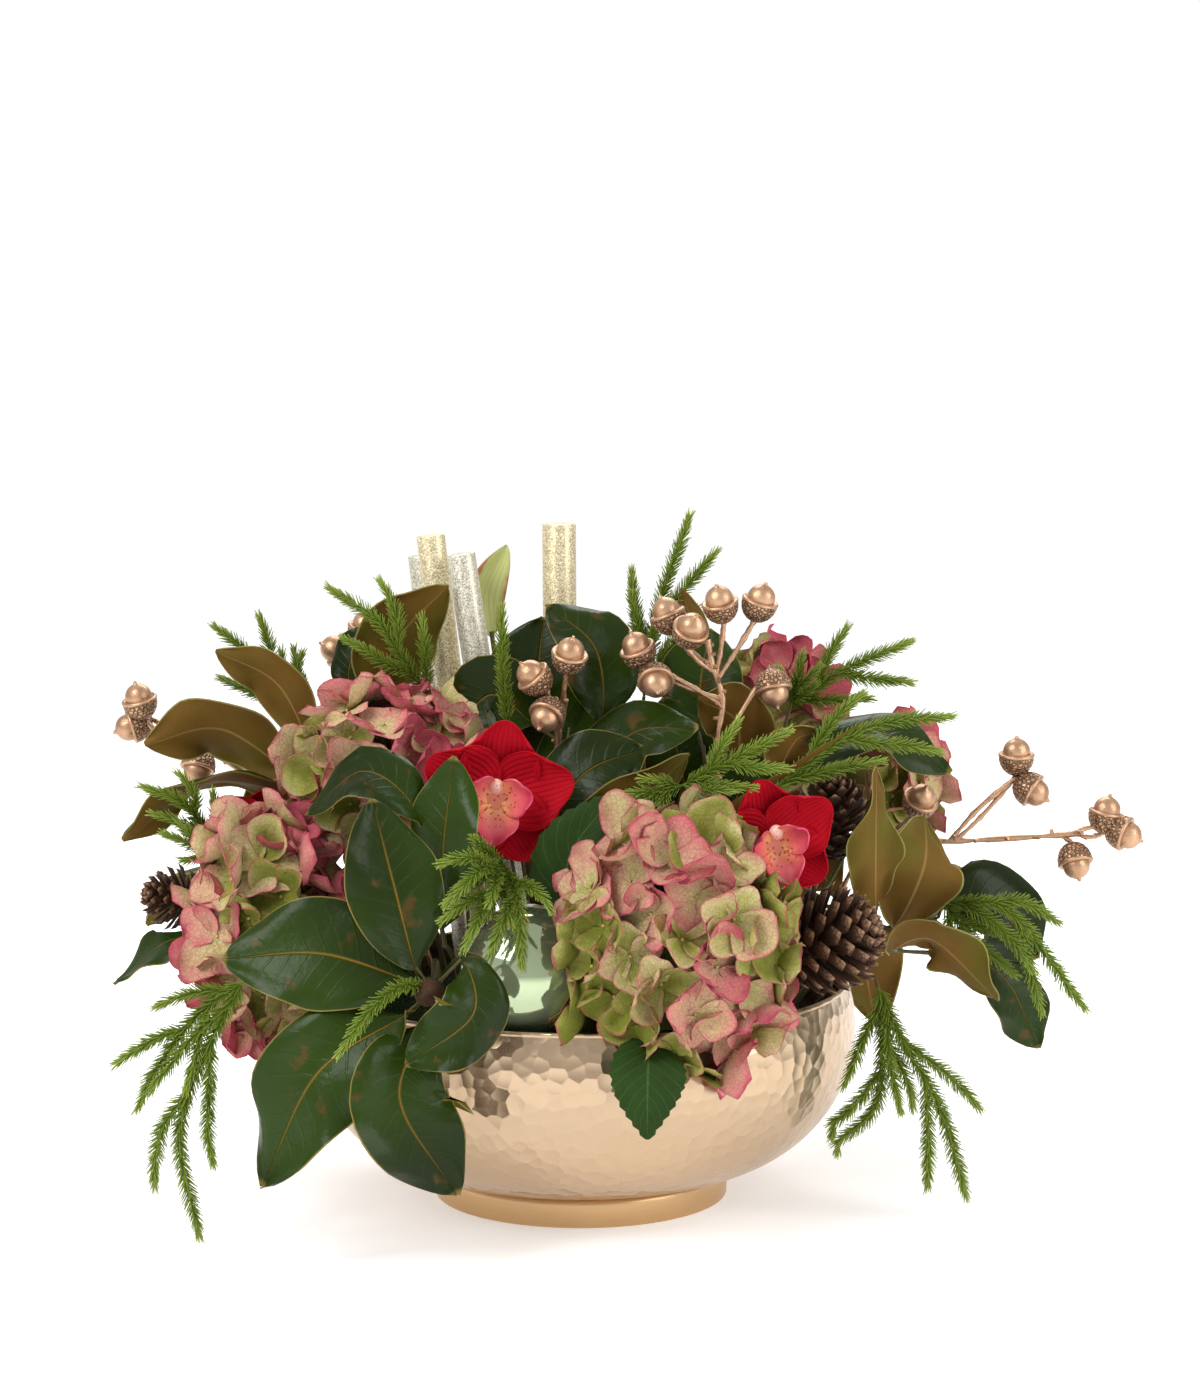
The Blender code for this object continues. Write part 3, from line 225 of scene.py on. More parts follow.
foot_gold, start = finish("satin_foot_gold")
brushed = start.node("VectorMath", {"operation": "MULTIPLY"}, {0: place_in(start), 1: (1, 1, 40)})
streaks = grain(start, 60, 4, brushed)
dress(foot_gold, Base_Color=between(streaks, (0.66, 0.44, 0.23), (0.56, 0.36, 0.18)), Metallic=1.0,
      Roughness=0.3 + 0.12 * streaks, Normal=bump(streaks, 0.05, 0.4))
show("foot", lathe(foot_profile, 160), [foot_gold])

# The foam: a block of dark green floral foam, cut round and domed with a knife, so that its
# surface is pitted and crumbly. Every stem is pushed straight into it.
FOAM_RADIUS = 165 * MM
FOAM_TOP = 172 * MM
FOAM_DROP = 52 * MM
FOAM_RINGS = 56
CRUMBLY_FROM = 115 * MM
foam_green, start = finish("floral_foam")
pores = cells(start, 420)
dust = grain(start, 90, 6)
foam_colour = between(dust, (0.010, 0.026, 0.006), (0.040, 0.075, 0.020))
# The pores are painted near black at their middles: painted shade in the pits.
dress(foam_green, Base_Color=between(step(pores, 0.1, 0.5), (0.004, 0.010, 0.003), foam_colour), Roughness=0.95,
      Specular_IOR_Level=0.1, Normal=bump(pores * 1.4 + dust * 2, 1.6, 1.0))


def foam_height(radius):
    return FOAM_TOP - FOAM_DROP * (radius / FOAM_RADIUS) ** 2


foam_profile = []
for index in range(FOAM_RINGS + 1):
    radius = FOAM_RADIUS * index / FOAM_RINGS
    foam_profile.append((radius, foam_height(radius)))
foam_profile += [(155 * MM, 70 * MM), (80 * MM, 22.3 * MM), (0, 22.3 * MM)]
foam = lathe(foam_profile, 160)
for vertex in foam.verts:
    if vertex.co.z > CRUMBLY_FROM:
        coarse = noise.noise(vertex.co * 45)
        fine = noise.noise(vertex.co * 210)
        vertex.co.z += (1.6 * coarse + 1.1 * min(fine, 0.1) - 0.6) * MM
show("foam", foam, [foam_green], 60)

# The ornament: a ball of thin mirrored glass in pale green, blown with a short neck that a
# pressed metal cap closes. The cap's wire pick is pushed into the foam.
EYE = Vector((13.4, -2600, 700)) * MM
VIEW_DISTANCE = 2600 * MM
STEM_RADIUS = 1.7 * MM
STEM_DEPTH = 22 * MM
BALL_CENTRE = Vector((-35, -137, 186)) * MM
BALL_RADIUS = 45 * MM
FIT_GAP = 0.3 * MM

# Rounded forms that leaves and sprigs are bent round: centre and half sizes
bulky = [(BALL_CENTRE, Vector((BALL_RADIUS,) * 3))]


def sight(across, up, toward):
    """A point, in millimetres, seen at (across, up) on the upright plane through the bowl's
    axis, brought nearer to the viewer by toward."""
    on_plane = Vector((across, 0, up)) * MM
    return on_plane + (EYE - on_plane) * (toward * MM / VIEW_DISTANCE)


def seen(points):
    return [sight(*point) for point in points]


def stem_hole(x, y, lean=None):
    """The buried end of the stem at (x, y) millimetres, and a point just above its hole."""
    out = Vector((x * MM, y * MM, 0))
    out.z = foam_height(out.xy.length)
    lean = Vector(lean or (out.x / FOAM_RADIUS * 0.9, out.y / FOAM_RADIUS * 0.9, 1)).normalized()
    return [out - lean * STEM_DEPTH, out + lean * 3 * MM]


def bend(points, share):
    """The point at a share from 0 to 1 of a smooth line through the points."""
    last = len(points) - 1
    place = min(share, 0.999999) * last
    index = int(place)
    step_on = place - index
    start, end = points[index], points[index + 1]
    before = points[index - 1] if index > 0 else 2 * start - end
    after = points[index + 2] if index + 2 <= last else 2 * end - start
    curve = 2 * start + (end - before) * step_on
    curve += (2 * before - 5 * start + 4 * end - after) * step_on ** 2
    curve += (3 * start - before - 3 * end + after) * step_on ** 3
    return curve / 2


def evenly(points, count):
    """Points at equal distances along the smooth line through the points."""
    last = 160
    fine = [bend(points, index / last) for index in range(last + 1)]
    walked = [0.0]
    for index in range(last):
        walked.append(walked[-1] + (fine[index + 1] - fine[index]).length)
    result = []
    index = 0
    for stop in range(count + 1):
        target = walked[-1] * stop / count
        while index < last - 1 and walked[index + 1] < target:
            index += 1
        span = max(walked[index + 1] - walked[index], 1e-9)
        result.append(fine[index].lerp(fine[index + 1], (target - walked[index]) / span))
    return result


def carried_frames(points):
    """The direction, side and up at each point of a line, carried along without a twist."""
    directions = []
    for index in range(len(points)):
        before = points[max(index - 1, 0)]
        after = points[min(index + 1, len(points) - 1)]
        directions.append((after - before).normalized())
    side = directions[0].orthogonal().normalized()
    frames = []
    for direction in directions:
        side = (side - side.project(direction)).normalized()
        frames.append((direction, side, direction.cross(side)))
    return frames


def paint(verts, material):
    for face in {face for vertex in verts for face in vertex.link_faces}:
        face.material_index = material


def rod(shape, points, radii, sides, material):
    """Adds a rod with a ring at each point and flat ends."""
    frames = carried_frames(points)
    last = len(points) - 1
    made = bmesh.ops.create_uvsphere(shape, u_segments=sides, v_segments=last + 2, radius=1)["verts"]
    for vertex in made:
        ring = round(math.acos(max(-1, min(1, -vertex.co.z))) / math.pi * (last + 2))
        turn = math.atan2(-vertex.co.x, vertex.co.y)
        index = min(max(ring - 1, 0), last)
        vertex.co = points[index].copy()
        if 0 < ring < last + 2:
            vertex.co += (math.cos(turn) * frames[index][1] + math.sin(turn) * frames[index][2]) * radii[index]
    paint(made, material)


def stem(shape, points, radius=STEM_RADIUS, end_radius=None, material=0, smooth=4, knobs=0.0):
    """Adds a stem through the points: straight in its hole and then bent smoothly."""
    end_radius = radius if end_radius is None else end_radius
    way = evenly(points[1:], max(smooth * (len(points) - 2), 1)) if len(points) > 2 else points[1:]
    way = [points[0]] + way
    radii = []
    for index in range(len(way)):
        swell = 1 + knobs * math.sin(index * 2.4) * math.cos(index * 1.1)
        radii.append((radius + (end_radius - radius) * index / (len(way) - 1)) * swell)
    rod(shape, way, radii, 8, material)


def turned(profile, steps):
    """A lathe body from a profile in millimetres."""
    return lathe([(across * MM, up * MM) for across, up in profile], steps)


def join(shape, body, matrix=None, material=None):
    """Adds a finished body to a shape, in its place."""
    if matrix is not None:
        body.transform(matrix)
    if material is not None:
        for face in body.faces:
            face.material_index = material
    passing = bpy.data.meshes.new("passing")
    body.to_mesh(passing)
    body.free()
    shape.from_mesh(passing)
    bpy.data.meshes.remove(passing)


def stand(place, axis):
    """Turns an upright body to stand at a place, along an axis."""
    return Matrix.Translation(place) @ Vector(axis).to_track_quat("Z", "Y").to_matrix().to_4x4()


ball_glass, start = finish("mirrored_green_glass")
swirl = grain(start, 14)
dress(ball_glass, Base_Color=between(swirl, (0.54, 0.64, 0.40), (0.44, 0.55, 0.32)), Metallic=0.7,
      Roughness=0.05 + 0.05 * grain(start, 70), Coat_Weight=0.5, Coat_Roughness=0.03)
away = Vector((0.15, 0.82, -0.55)).normalized()
ball = bmesh.new()
bmesh.ops.create_uvsphere(ball, u_segments=64, v_segments=48, radius=BALL_RADIUS)
ball.transform(stand(BALL_CENTRE, away))
neck_start = BALL_CENTRE + away * (BALL_RADIUS - 3 * MM)
join(ball, turned([(0, 0), (6, 0), (6, 6.6), (5.6, 7), (0, 7)], 32), stand(neck_start, away))
show("ornament_ball", ball, [ball_glass])

cap_metal, start = finish("pressed_cap_metal")
dress(cap_metal, Base_Color=between(grain(start, 120), (0.66, 0.60, 0.44), (0.55, 0.50, 0.36)), Metallic=1.0,
      Roughness=0.28 + 0.1 * grain(start, 300))
cap_start = neck_start + away * (7 * MM + FIT_GAP)
cap = turned([(0, 0), (7.6, 0), (8, 0.4), (7.7, 1.6), (7.8, 2.8), (6.8, 3.6), (4, 4), (0, 4)], 32)
cap.transform(stand(cap_start, away))
stem(cap, stem_hole(-24, -70, lean=(-0.1, -0.75, 1)) + [cap_start + away * 2 * MM])
show("ornament_cap_and_pick", cap, [cap_metal])

# The glitter sticks: plain dowels rolled in fine glitter, two gold and two silver, cut off
# square at the top.
# Top and low end as sight takes them, radius, finish
glitter_sticks = {
    "glitter_stick_gold_left": ((-104, 465, -30), (-66, 150, -30), 10, "gold_glitter"),
    "glitter_stick_silver_back": ((-110, 451, -55), (-77, 150, -60), 10, "silver_glitter"),
    "glitter_stick_silver_front": ((-83, 452, -8), (-40, 150, -8), 10, "silver_glitter"),
    "glitter_stick_gold_centre": ((-15, 473, -60), (-13, 150, -60), 12, "gold_glitter"),
}
glitter = {}
for glitter_name, dark, light in (("gold_glitter", (0.54, 0.43, 0.22), (0.98, 0.90, 0.66)),
                                  ("silver_glitter", (0.44, 0.40, 0.30), (0.88, 0.85, 0.72))):
    glitter[glitter_name], start = finish(glitter_name)
    flakes = cells(start, 1500, output=1)
    flake = start.node("SeparateColor", {}, {0: flakes})
    dress(glitter[glitter_name], Base_Color=between(step(flake, 0.15, 0.95), dark, light),
          Metallic=0.55, Roughness=0.25 + 0.3 * flake, Normal=bump(flake, 0.5, 0.9))
for name, (top, low, radius, slot) in glitter_sticks.items():
    top, low, radius = sight(*top), sight(*low), radius * MM
    axis = (top - low).normalized()
    # Slides the low end along the stick to the foam's surface
    for _ in range(4):
        low = low + axis * (foam_height(low.xy.length) - low.z)
    buried = stem_hole(low.x / MM, low.y / MM, lean=axis)[0]
    length = (top - buried).length
    stick = lathe([(0, 0), (radius, 0), (radius, length - 0.5 * MM), (radius - 0.15 * MM, length - 0.15 * MM),
                   (radius - 0.5 * MM, length), (0, length)], 40)
    stick.transform(stand(buried, axis))
    show(name, stick, [glitter[slot]])

# The pine cones: real open cones, dark brown, each woody scale with a pale worn tip. A
# wooden stem is wired on under each one.
# Base, tip, radius, the stem's hole, number of scales
pine_cones = {
    "pine_cone_right_front": ((138, 168, 104), (211, 192, 116), 40, (112, -72), 108),
    "pine_cone_right_upper": ((177, 236, 52), (176, 298, 60), 30, (128, -34), 84),
    "pine_cone_left": ((-262, 206, 30), (-308, 214, 44), 24, (-140, -4), 72),
    "pine_cone_back": ((-30, 208, -100), (-34, 238, -166), 34, (-24, 108), 96),
}
cone_wood, start = finish("cone_scale_wood")
tip = start.node("Attribute", {"attribute_name": "tip"}, {}, 2)
grit = grain(start, 500, 4)
worn = step(tip + (grit - 0.5) * 0.5, 0.74, 1.08)
dark_wood = between(grit, (0.026, 0.011, 0.006), (0.095, 0.043, 0.021))
dress(cone_wood, Base_Color=between(worn, dark_wood, (0.42, 0.25, 0.145)), Roughness=0.7, Specular_IOR_Level=0.25,
      Normal=bump(grit, 0.6, 0.6))


def pine_scale(shape, tip_layer, root, out, up, length, width):
    """One woody scale: thin at its root, with a thick lozenge at its tip that turns up."""
    across = out.cross(up).normalized()
    made = bmesh.ops.create_cone(shape, cap_ends=True, segments=6, radius1=1, radius2=1, depth=1)["verts"]
    outer = [vertex for vertex in made if vertex.co.z > 0]
    for vertex in made:
        at_tip = vertex.co.z > 0
        wide = (width if at_tip else width * 0.55) / 2 * vertex.co.y
        thick = width * (0.16 if at_tip else 0.10) * vertex.co.x
        along = length if at_tip else 0.0
        rise = length * 0.30 if at_tip else 0.0
        vertex[tip_layer] = 0.72 if at_tip else 0.0
        vertex.co = root + out * (along + thick * 0.35) + across * wide + up * (rise + thick)
    face = next(face for face in shape.faces if all(vertex in outer for vertex in face.verts))
    pushed = bmesh.ops.extrude_discrete_faces(shape, faces=[face])["faces"][0]
    centre = pushed.calc_center_median()
    for vertex in pushed.verts:
        vertex.co = centre + (vertex.co - centre) * 0.10 + out * width * 0.34 + up * width * 0.26
        vertex[tip_layer] = 1.0


golden_turn = math.pi * (3 - math.sqrt(5))
for name, (base, tip_place, radius, hole, count) in pine_cones.items():
    base, tip_place, radius = sight(*base), sight(*tip_place), radius * MM
    axis = (tip_place - base).normalized()
    length = (tip_place - base).length
    side = axis.orthogonal().normalized()
    up = axis.cross(side)
    cone = bmesh.new()
    tip_layer = cone.verts.layers.float.new("tip")
    core = []
    for index in range(9):
        share = index / 8
        core.append((radius * 0.36 * math.sin(math.pi * (0.06 + 0.9 * share)) ** 0.6, length * (0.03 + 0.9 * share)))
    join(cone, lathe([(0, length * 0.03)] + core + [(0, length * 0.94)], 12), stand(base, axis))
    draw = random.Random(name)
    for index in range(count):
        share = (index + 0.5) / count
        turn = golden_turn * index
        out = math.cos(turn) * side + math.sin(turn) * up
        swell = math.sin(math.pi * (0.10 + 0.86 * share) ** 0.8) ** 0.75
        lean = 0.05 + 0.95 * share ** 1.6
        way = (out * math.cos(lean) + axis * math.sin(lean)).normalized()
        rise = (axis * math.cos(lean) - out * math.sin(lean)).normalized()
        reach = radius * swell * (0.93 + 0.1 * draw.random())
        root = base + axis * length * (0.04 + 0.84 * share) + out * reach * 0.25
        pine_scale(cone, tip_layer, root, way, rise, reach * 0.70, radius * 0.35 * (0.5 + 0.5 * swell))
    bmesh.ops.recalc_face_normals(cone, faces=cone.faces[:])
    stem(cone, stem_hole(*hole) + [base + axis * 0.25 * length])
    show(name, cone, [cone_wood], 30)
    bulky.append(((base + tip_place) / 2, Vector((radius,) * 3)))

# The hydrangeas: cloth florets of four petals, printed from green to pink with a deep pink
# edge, glued on thin stalks round a moss-coloured core. The front head has two toothed leaves.
BOWL_GUARD = 2 * MM
CORE_DEPTH = 26 * MM
STALK_LENGTH = 22 * MM
FLORET_ROOM = 2.5 * MM
LINE_STEPS = 24
# Centre, half sizes, the stem's hole, number of florets, how pink
hydrangea_heads = {
    "hydrangea_left_upper": ((-132, 300, 58), (66, 58, 58), (-108, -42), 50, 0.50),
    "hydrangea_left_lower": ((-217, 190, 100), (50, 50, 80), (-136, -64), 50, 0.50),
    "hydrangea_front": ((66, 166, 165), (80, 60, 100), (44, -112), 76, 0.38),
    "hydrangea_right_back": ((132, 335, -60), (52, 52, 52), (100, 52), 38, 0.60),
    "hydrangea_right_outer": ((207, 284, -78), (46, 46, 46), (136, 62), 34, 0.50),
    "hydrangea_back_left": ((-112, 276, -108), (58, 52, 56), (-84, 92), 44, 0.55),
}
# Points, width, where the upper side looks
hydrangea_leaves = (
    ([(52, 124, 184), (48, 100, 206), (47, 70, 222), (47, 36, 224)], 48, (0.1, -1, 0.2)),
    ([(34, 196, 142), (-2, 206, 148), (-8, 240, 154), (26, 286, 152)], 48, (-0.3, -1, 0.2)),
)
for head in hydrangea_heads.values():
    bulky.append((sight(*head[0]), Vector(head[1]) * MM))


def along_and_across(start):
    """Where a point lies on its petal or leaf: 0 to 1 along it, and 0 at its rib to 1 at its edge."""
    flat = start.node("TexCoord", output=2)
    off = start.node("SeparateXYZ", {}, {0: flat}, 1)
    return start.node("SeparateXYZ", {}, {0: flat}), off * 2 - 1


petal_cloth, start = finish("hydrangea_petal_cloth")
along, off = along_and_across(start)
tint = start.node("Attribute", {"attribute_name": "tint"}, {}, 2)
cloudy = grain(start, 75, 2)
blush = tint + (cloudy - 0.5) * 0.5 + along * 0.34 + off * off * 0.22 - 0.26
petal_colour = start.node("ValToRGB", {"stops": [
    (0.0, (0.17, 0.20, 0.022)), (0.22, (0.34, 0.35, 0.083)), (0.42, (0.56, 0.48, 0.23)),
    (0.60, (0.60, 0.34, 0.23)), (0.80, (0.60, 0.20, 0.19)), (1.0, (0.47, 0.09, 0.12))]}, {0: blush})
web = cells(start, 330, "DISTANCE_TO_EDGE")
vein = 1 - step(web, 0.0, 0.10)
main_veins = step(start.math("SINE", off * 17.0), 0.86, 1.0) * (1 - along * 0.8)
edge = step(start.math("MAXIMUM", abs(off), along) + (cloudy - 0.5) * 0.12, 0.93, 1.0)
veined = between(vein * 0.34 + main_veins * 0.26, petal_colour, (0.22, 0.09, 0.04))
dress(petal_cloth, Base_Color=between(edge * 0.7, veined, (0.42, 0.04, 0.09)), Roughness=0.8,
      Specular_IOR_Level=0.2, Normal=bump(vein * -1 + main_veins * -0.8, 0.35, 0.6))
bead_gloss, start = finish("floret_bead")
dress(bead_gloss, Base_Color=between(grain(start, 90), (0.50, 0.50, 0.16), (0.62, 0.20, 0.14)), Roughness=0.45)
head_moss, start = finish("head_core_and_stalk")
dress(head_moss, Base_Color=between(grain(start, 120, 4), (0.03, 0.05, 0.01), (0.16, 0.17, 0.04)), Roughness=0.9,
      Normal=bump(grain(start, 400, 3), 1, 0.7))
toothed_green, start = finish("toothed_leaf_green")
along, off = along_and_across(start)
rib = 1 - step(abs(off), 0.0, 0.05)
side_rib = step(start.math("SINE", (along * 9 - abs(off) * 2.6) * math.tau), 0.9, 1.0)
leaf_web = 1 - step(cells(start, 500, "DISTANCE_TO_EDGE"), 0.0, 0.12)
toothed_colour = between(grain(start, 60, 3), (0.009, 0.026, 0.003), (0.024, 0.058, 0.006))
dress(toothed_green, Base_Color=between(rib * 0.4 + side_rib * 0.2, toothed_colour, (0.08, 0.17, 0.05)),
      Roughness=0.6, Specular_IOR_Level=0.14,
      Normal=bump((rib + side_rib + leaf_web * 0.5) * -1, 0.4, 0.7))


def neighbours(own):
    """Every solid of the frame but the piece's own, to keep petals and needles clear of."""
    points, faces = [], []
    for name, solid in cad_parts.items():
        if name != own:
            first = len(points)
            points += [vertex.co.copy() for vertex in solid.data.vertices]
            faces += [[first + corner for corner in polygon.vertices] for polygon in solid.data.polygons]
    return BVHTree.FromPolygons(points, faces)


def room(tree, start_place, way, reach):
    """How far a thin form can reach from a place before it meets a neighbour."""
    hit = tree.ray_cast(start_place, way, reach + 1.5 * MM)
    return reach if hit[0] is None else max(hit[3] - 1.5 * MM, 0)


def round_outline(share):
    return 0.14 + 0.86 * math.sin(math.pi * min(0.05 + 0.80 * share ** 1.15, 1)) ** 0.75


def flat_sheet(shape, along, across, stalk=0.0):
    """Adds a flat grid, with UVs that run from its stalk's end to its tip and across it."""
    uv = shape.loops.layers.uv.verify()
    made = bmesh.ops.create_grid(shape, x_segments=along, y_segments=across, size=0.5)["verts"]
    faces = list({face for vertex in made for face in vertex.link_faces})
    for loop in (loop for face in faces for loop in face.loops):
        loop[uv].uv = (max(loop.vert.co.x + 0.5 - stalk, 0) / (1 - stalk), loop.vert.co.y + 0.5)
    return made, faces


def petal(shape, root, out, face, length, width, lift, cup, along, across, ripple, thickness=0.35 * MM,
          outline=round_outline, tint=None):
    """Adds a thin petal that starts at root and reaches out, lifted towards face at its tip
    and cupped across."""
    side = out.cross(face).normalized()
    made, faces = flat_sheet(shape, along, across)
    for vertex in made:
        share, off = vertex.co.x + 0.5, vertex.co.y * 2
        half = width / 2 * outline(share)
        bulge = share - 0.30 * (abs(off) ** 2.2) * share
        wave = ripple * math.sin(share * 9 + off * 3.1) * abs(off)
        vertex.co = root + out * length * bulge + side * off * half
        vertex.co += face * (lift * share * share + cup * off * off * half + wave)
    if tint is not None:
        layer = shape.verts.layers.float["tint"]
        for vertex in made:
            vertex[layer] = tint
    thicken(shape, faces, thickness)


def thicken(shape, faces, thickness, back=None):
    """Gives a sheet its thickness. back is the material of its underside."""
    sheet = set(faces)
    upper = {vertex for face in faces for vertex in face.verts}
    for part in faces + list(upper):
        part.normal_update()
    made = bmesh.ops.solidify(shape, geom=faces, thickness=thickness)["geom"]
    if back is not None:
        for face in made:
            if isinstance(face, bmesh.types.BMFace) and face not in sheet and not upper & set(face.verts):
                face.material_index = back


def floret(head, tree, centre, outward, spin, size, tint, draw):
    """Four petals in two crossed pairs, cupped and curled, with a bead at the centre."""
    shape = bmesh.new()
    shape.verts.layers.float.new("tint")
    side = outward.orthogonal().normalized()
    up = outward.cross(side)
    fitted = 0
    for index in range(4):
        turn = spin + math.pi / 2 * index + draw.uniform(-0.12, 0.12)
        out = math.cos(turn) * side + math.sin(turn) * up
        reach = size * draw.uniform(0.88, 1.08)
        tilt = draw.uniform(-0.1, 0.85)
        way = (out + outward * tilt * 0.5).normalized()
        free = room(tree, centre, way, reach)
        if free < reach * 0.5:
            continue
        fitted += 1
        root = centre + out * 1.2 * MM + outward * (0.5 * (index % 2)) * MM
        petal(shape, root, out, outward, free - 1.2 * MM, reach * draw.uniform(1.05, 1.3), tilt * free,
              draw.uniform(-0.1, 0.6), 5, 6, draw.uniform(0.6, 2.0) * MM, tint=tint + draw.uniform(-0.12, 0.12))
    if fitted:
        bead = bmesh.ops.create_icosphere(shape, subdivisions=1, radius=1.5 * MM)["verts"]
        bmesh.ops.translate(shape, verts=bead, vec=centre + outward * 1 * MM)
        paint(bead, 1)
    join(head, shape)
    return fitted


def toothed_outline(share):
    return 0.04 + 0.96 * math.sin(math.pi * min(share, 0.995) ** 0.72)


def leaf_blade(shape, points, width, face, outline, along, across, stalk=0.0, fold=0.15, wave=0.0,
               thickness=0.8 * MM, bulge=2.5 * MM, material=0, back=None, teeth=0.0):
    """Adds a leaf: a sheet bent along a line, folded at its rib, waved or toothed at its edges,
    and pushed out of the forms that it lies on. face is where its upper side looks."""
    made, faces = flat_sheet(shape, along, across, stalk)
    paint(made, material)
    face = Vector(face).normalized()
    line = evenly(points, LINE_STEPS)
    frames = carried_frames(line)
    for vertex in made:
        row, off = round((vertex.co.x + 0.5) * along), vertex.co.y * 2
        share = row / along
        grown = (share - stalk) / (1 - stalk)
        half = width / 2 * outline(max(grown, 0))
        if grown <= 0:
            half = (0.8 + 0.9 * share / max(stalk, 0.01)) * MM
        half += teeth * (row % 2) * (abs(off) > 0.99) * (0.05 < grown < 0.97)
        place = share * LINE_STEPS
        index = min(int(place), LINE_STEPS - 1)
        centre = line[index].lerp(line[index + 1], place - index)
        direction = frames[index][0]
        normal = (face - face.project(direction)).normalized()
        side = normal.cross(direction)
        ripple = 0
        if grown > 0:
            slow, quick = math.sin(grown * 7.5 + off * 1.7), math.sin(grown * 17 - off * 4)
            ripple = wave * off * off * (1.2 * slow + 0.6 * quick)
        hollow = (abs(off) ** 1.25) * fold * half - max(abs(off) - 0.72, 0) ** 1.5 * half * 0.9
        vertex.co = centre + side * (off * half) + normal * (hollow + ripple)
        if grown > 0:
            vertex.co = push_out(vertex.co, bulge)
    thicken(shape, faces, thickness, back)


def push_out(point, margin):
    """Moves a point that lies in the bowl or in a bulky form just out of it."""
    point = point.copy()
    for centre, half in bulky:
        grown = Vector(size + margin for size in half)
        offset = point - centre
        share = Vector(offset[axis] / grown[axis] for axis in range(3)).length
        if 0.05 < share < 1:
            point = centre + offset / share
    radius = point.xy.length
    wall = BOWL_BELLY_RADIUS + margin
    top = BOWL_RIM_HEIGHT + 1.5 * MM + margin
    if point.z < top and radius < wall:
        if top - point.z < wall - radius or radius < FOAM_RADIUS:
            point.z = top
        else:
            point.xy = point.xy * (wall / radius)
    point.z = max(point.z, margin)
    return point


for name, (centre, half, hole, count, pink) in hydrangea_heads.items():
    centre, half = sight(*centre), Vector(half) * MM
    draw = random.Random(name)
    tree = neighbours(name)
    head = bmesh.new()
    head.verts.layers.float.new("tint")
    core_floor = BOWL_RIM_HEIGHT + 6 * MM if centre.xy.length < BOWL_BELLY_RADIUS else 0
    core = bmesh.ops.create_uvsphere(head, u_segments=24, v_segments=16, radius=1)["verts"]
    for vertex in core:
        vertex.co = Vector(vertex.co[axis] * (half[axis] - CORE_DEPTH) for axis in range(3)) + centre
        vertex.co.z = max(vertex.co.z, core_floor)
        from_ball = vertex.co - BALL_CENTRE
        if from_ball.length < BALL_RADIUS + 4 * MM:
            vertex.co = BALL_CENTRE + from_ball.normalized() * (BALL_RADIUS + 4 * MM)
    paint(core, 2)
    stem_points = stem_hole(*hole)
    stem_way = (stem_points[-1] - centre).normalized()
    for index in range(count):
        height = 1 - 2 * (index + 0.5) / count
        level = math.sqrt(1 - height * height)
        turn = golden_turn * index + 0.4
        unit = Vector((math.cos(turn) * level, math.sin(turn) * level, height))
        if unit.dot(stem_way) > 0.75:
            continue
        sunk = draw.choice((11, 15, 19) if name == "hydrangea_front" else (6, 10, 15)) * MM
        spot = centre + Vector(unit[axis] * (half[axis] - sunk) for axis in range(3))
        outward = Vector(unit[axis] / half[axis] for axis in range(3)).normalized()
        outward = (outward + Vector(draw.uniform(-0.5, 0.5) for axis in range(3))).normalized()
        if spot.z < BOWL_RIM_HEIGHT + BOWL_GUARD and spot.xy.length < BOWL_BELLY_RADIUS + BOWL_GUARD:
            continue
        if tree.find_nearest(spot, FLORET_ROOM)[0] is not None:
            continue
        patch = math.sin(unit.x * 2.6 + unit.z * 2.2 + half.x * 90)
        tint = pink + 0.26 * patch + draw.uniform(-0.28, 0.28)
        if floret(head, tree, spot, outward, draw.uniform(0, math.tau), draw.uniform(24, 30) * MM, tint, draw):
            rod(head, [spot - outward * STALK_LENGTH, spot - outward * 0.5 * MM], [0.7 * MM, 0.9 * MM], 5, 2)
    stem(head, stem_points + [centre], material=2)
    if name == "hydrangea_front":
        for points, width, face in hydrangea_leaves:
            leaf_blade(head, seen(points), width * MM, face, toothed_outline, 28, 8, stalk=0.2, fold=0.2,
                       bulge=-12 * MM, material=3, teeth=1.8 * MM)
    show(name, head, [petal_cloth, bead_gloss, head_moss, toothed_green], 60)

# The orchids: cloth blooms with five red ribbed petals glued to a boss, and a moulded pink
# lip with a spotted throat and a pale column that stands on the boss.
# Centre, where it looks, reach of a petal, the stem's hole, roll in degrees
orchids = {
    "orchid_left": ((-60, 280, 132), (0.12, -1, 0.1), 53, (-58, -64), 8),
    "orchid_right": ((134, 248, 138), (0.25, -1, 0.05), 46, (84, -86), -16),
    "orchid_far_left": ((-226, 254, 34), (-0.5, -1, 0.3), 34, (-124, 20), 20),
}
red_cloth, start = finish("orchid_red_cloth")
along, off = along_and_across(start)
shade = grain(start, 60, 2)
rib_line = start.math("SINE", (off + shade * 0.08) * 46)
groove = step(rib_line, -0.1, 0.9)
red = between(shade, (0.30, 0.001, 0.006), (0.50, 0.004, 0.016))
dress(red_cloth, Base_Color=between(groove * 0.35 * (1 - along * 0.6), red, (0.10, 0.0, 0.004)), Roughness=0.65,
      Specular_IOR_Level=0.08, Normal=bump(groove * -1 + grain(start, 900) * 0.2, 0.5, 0.7))
lip_pink, start = finish("orchid_lip_pink")
along, off = along_and_across(start)
speck = (1 - step(cells(start, 330), 0.20, 0.34)) * (1 - step(along, 0.35, 0.75))
lip_depth = along + (grain(start, 90) - 0.5) * 0.4
lip_shade = start.node("ValToRGB", {"stops": [
    (0.05, (0.86, 0.48, 0.18)), (0.28, (0.78, 0.26, 0.14)), (0.55, (0.70, 0.14, 0.15)),
    (0.95, (0.50, 0.03, 0.08))]}, {0: lip_depth})
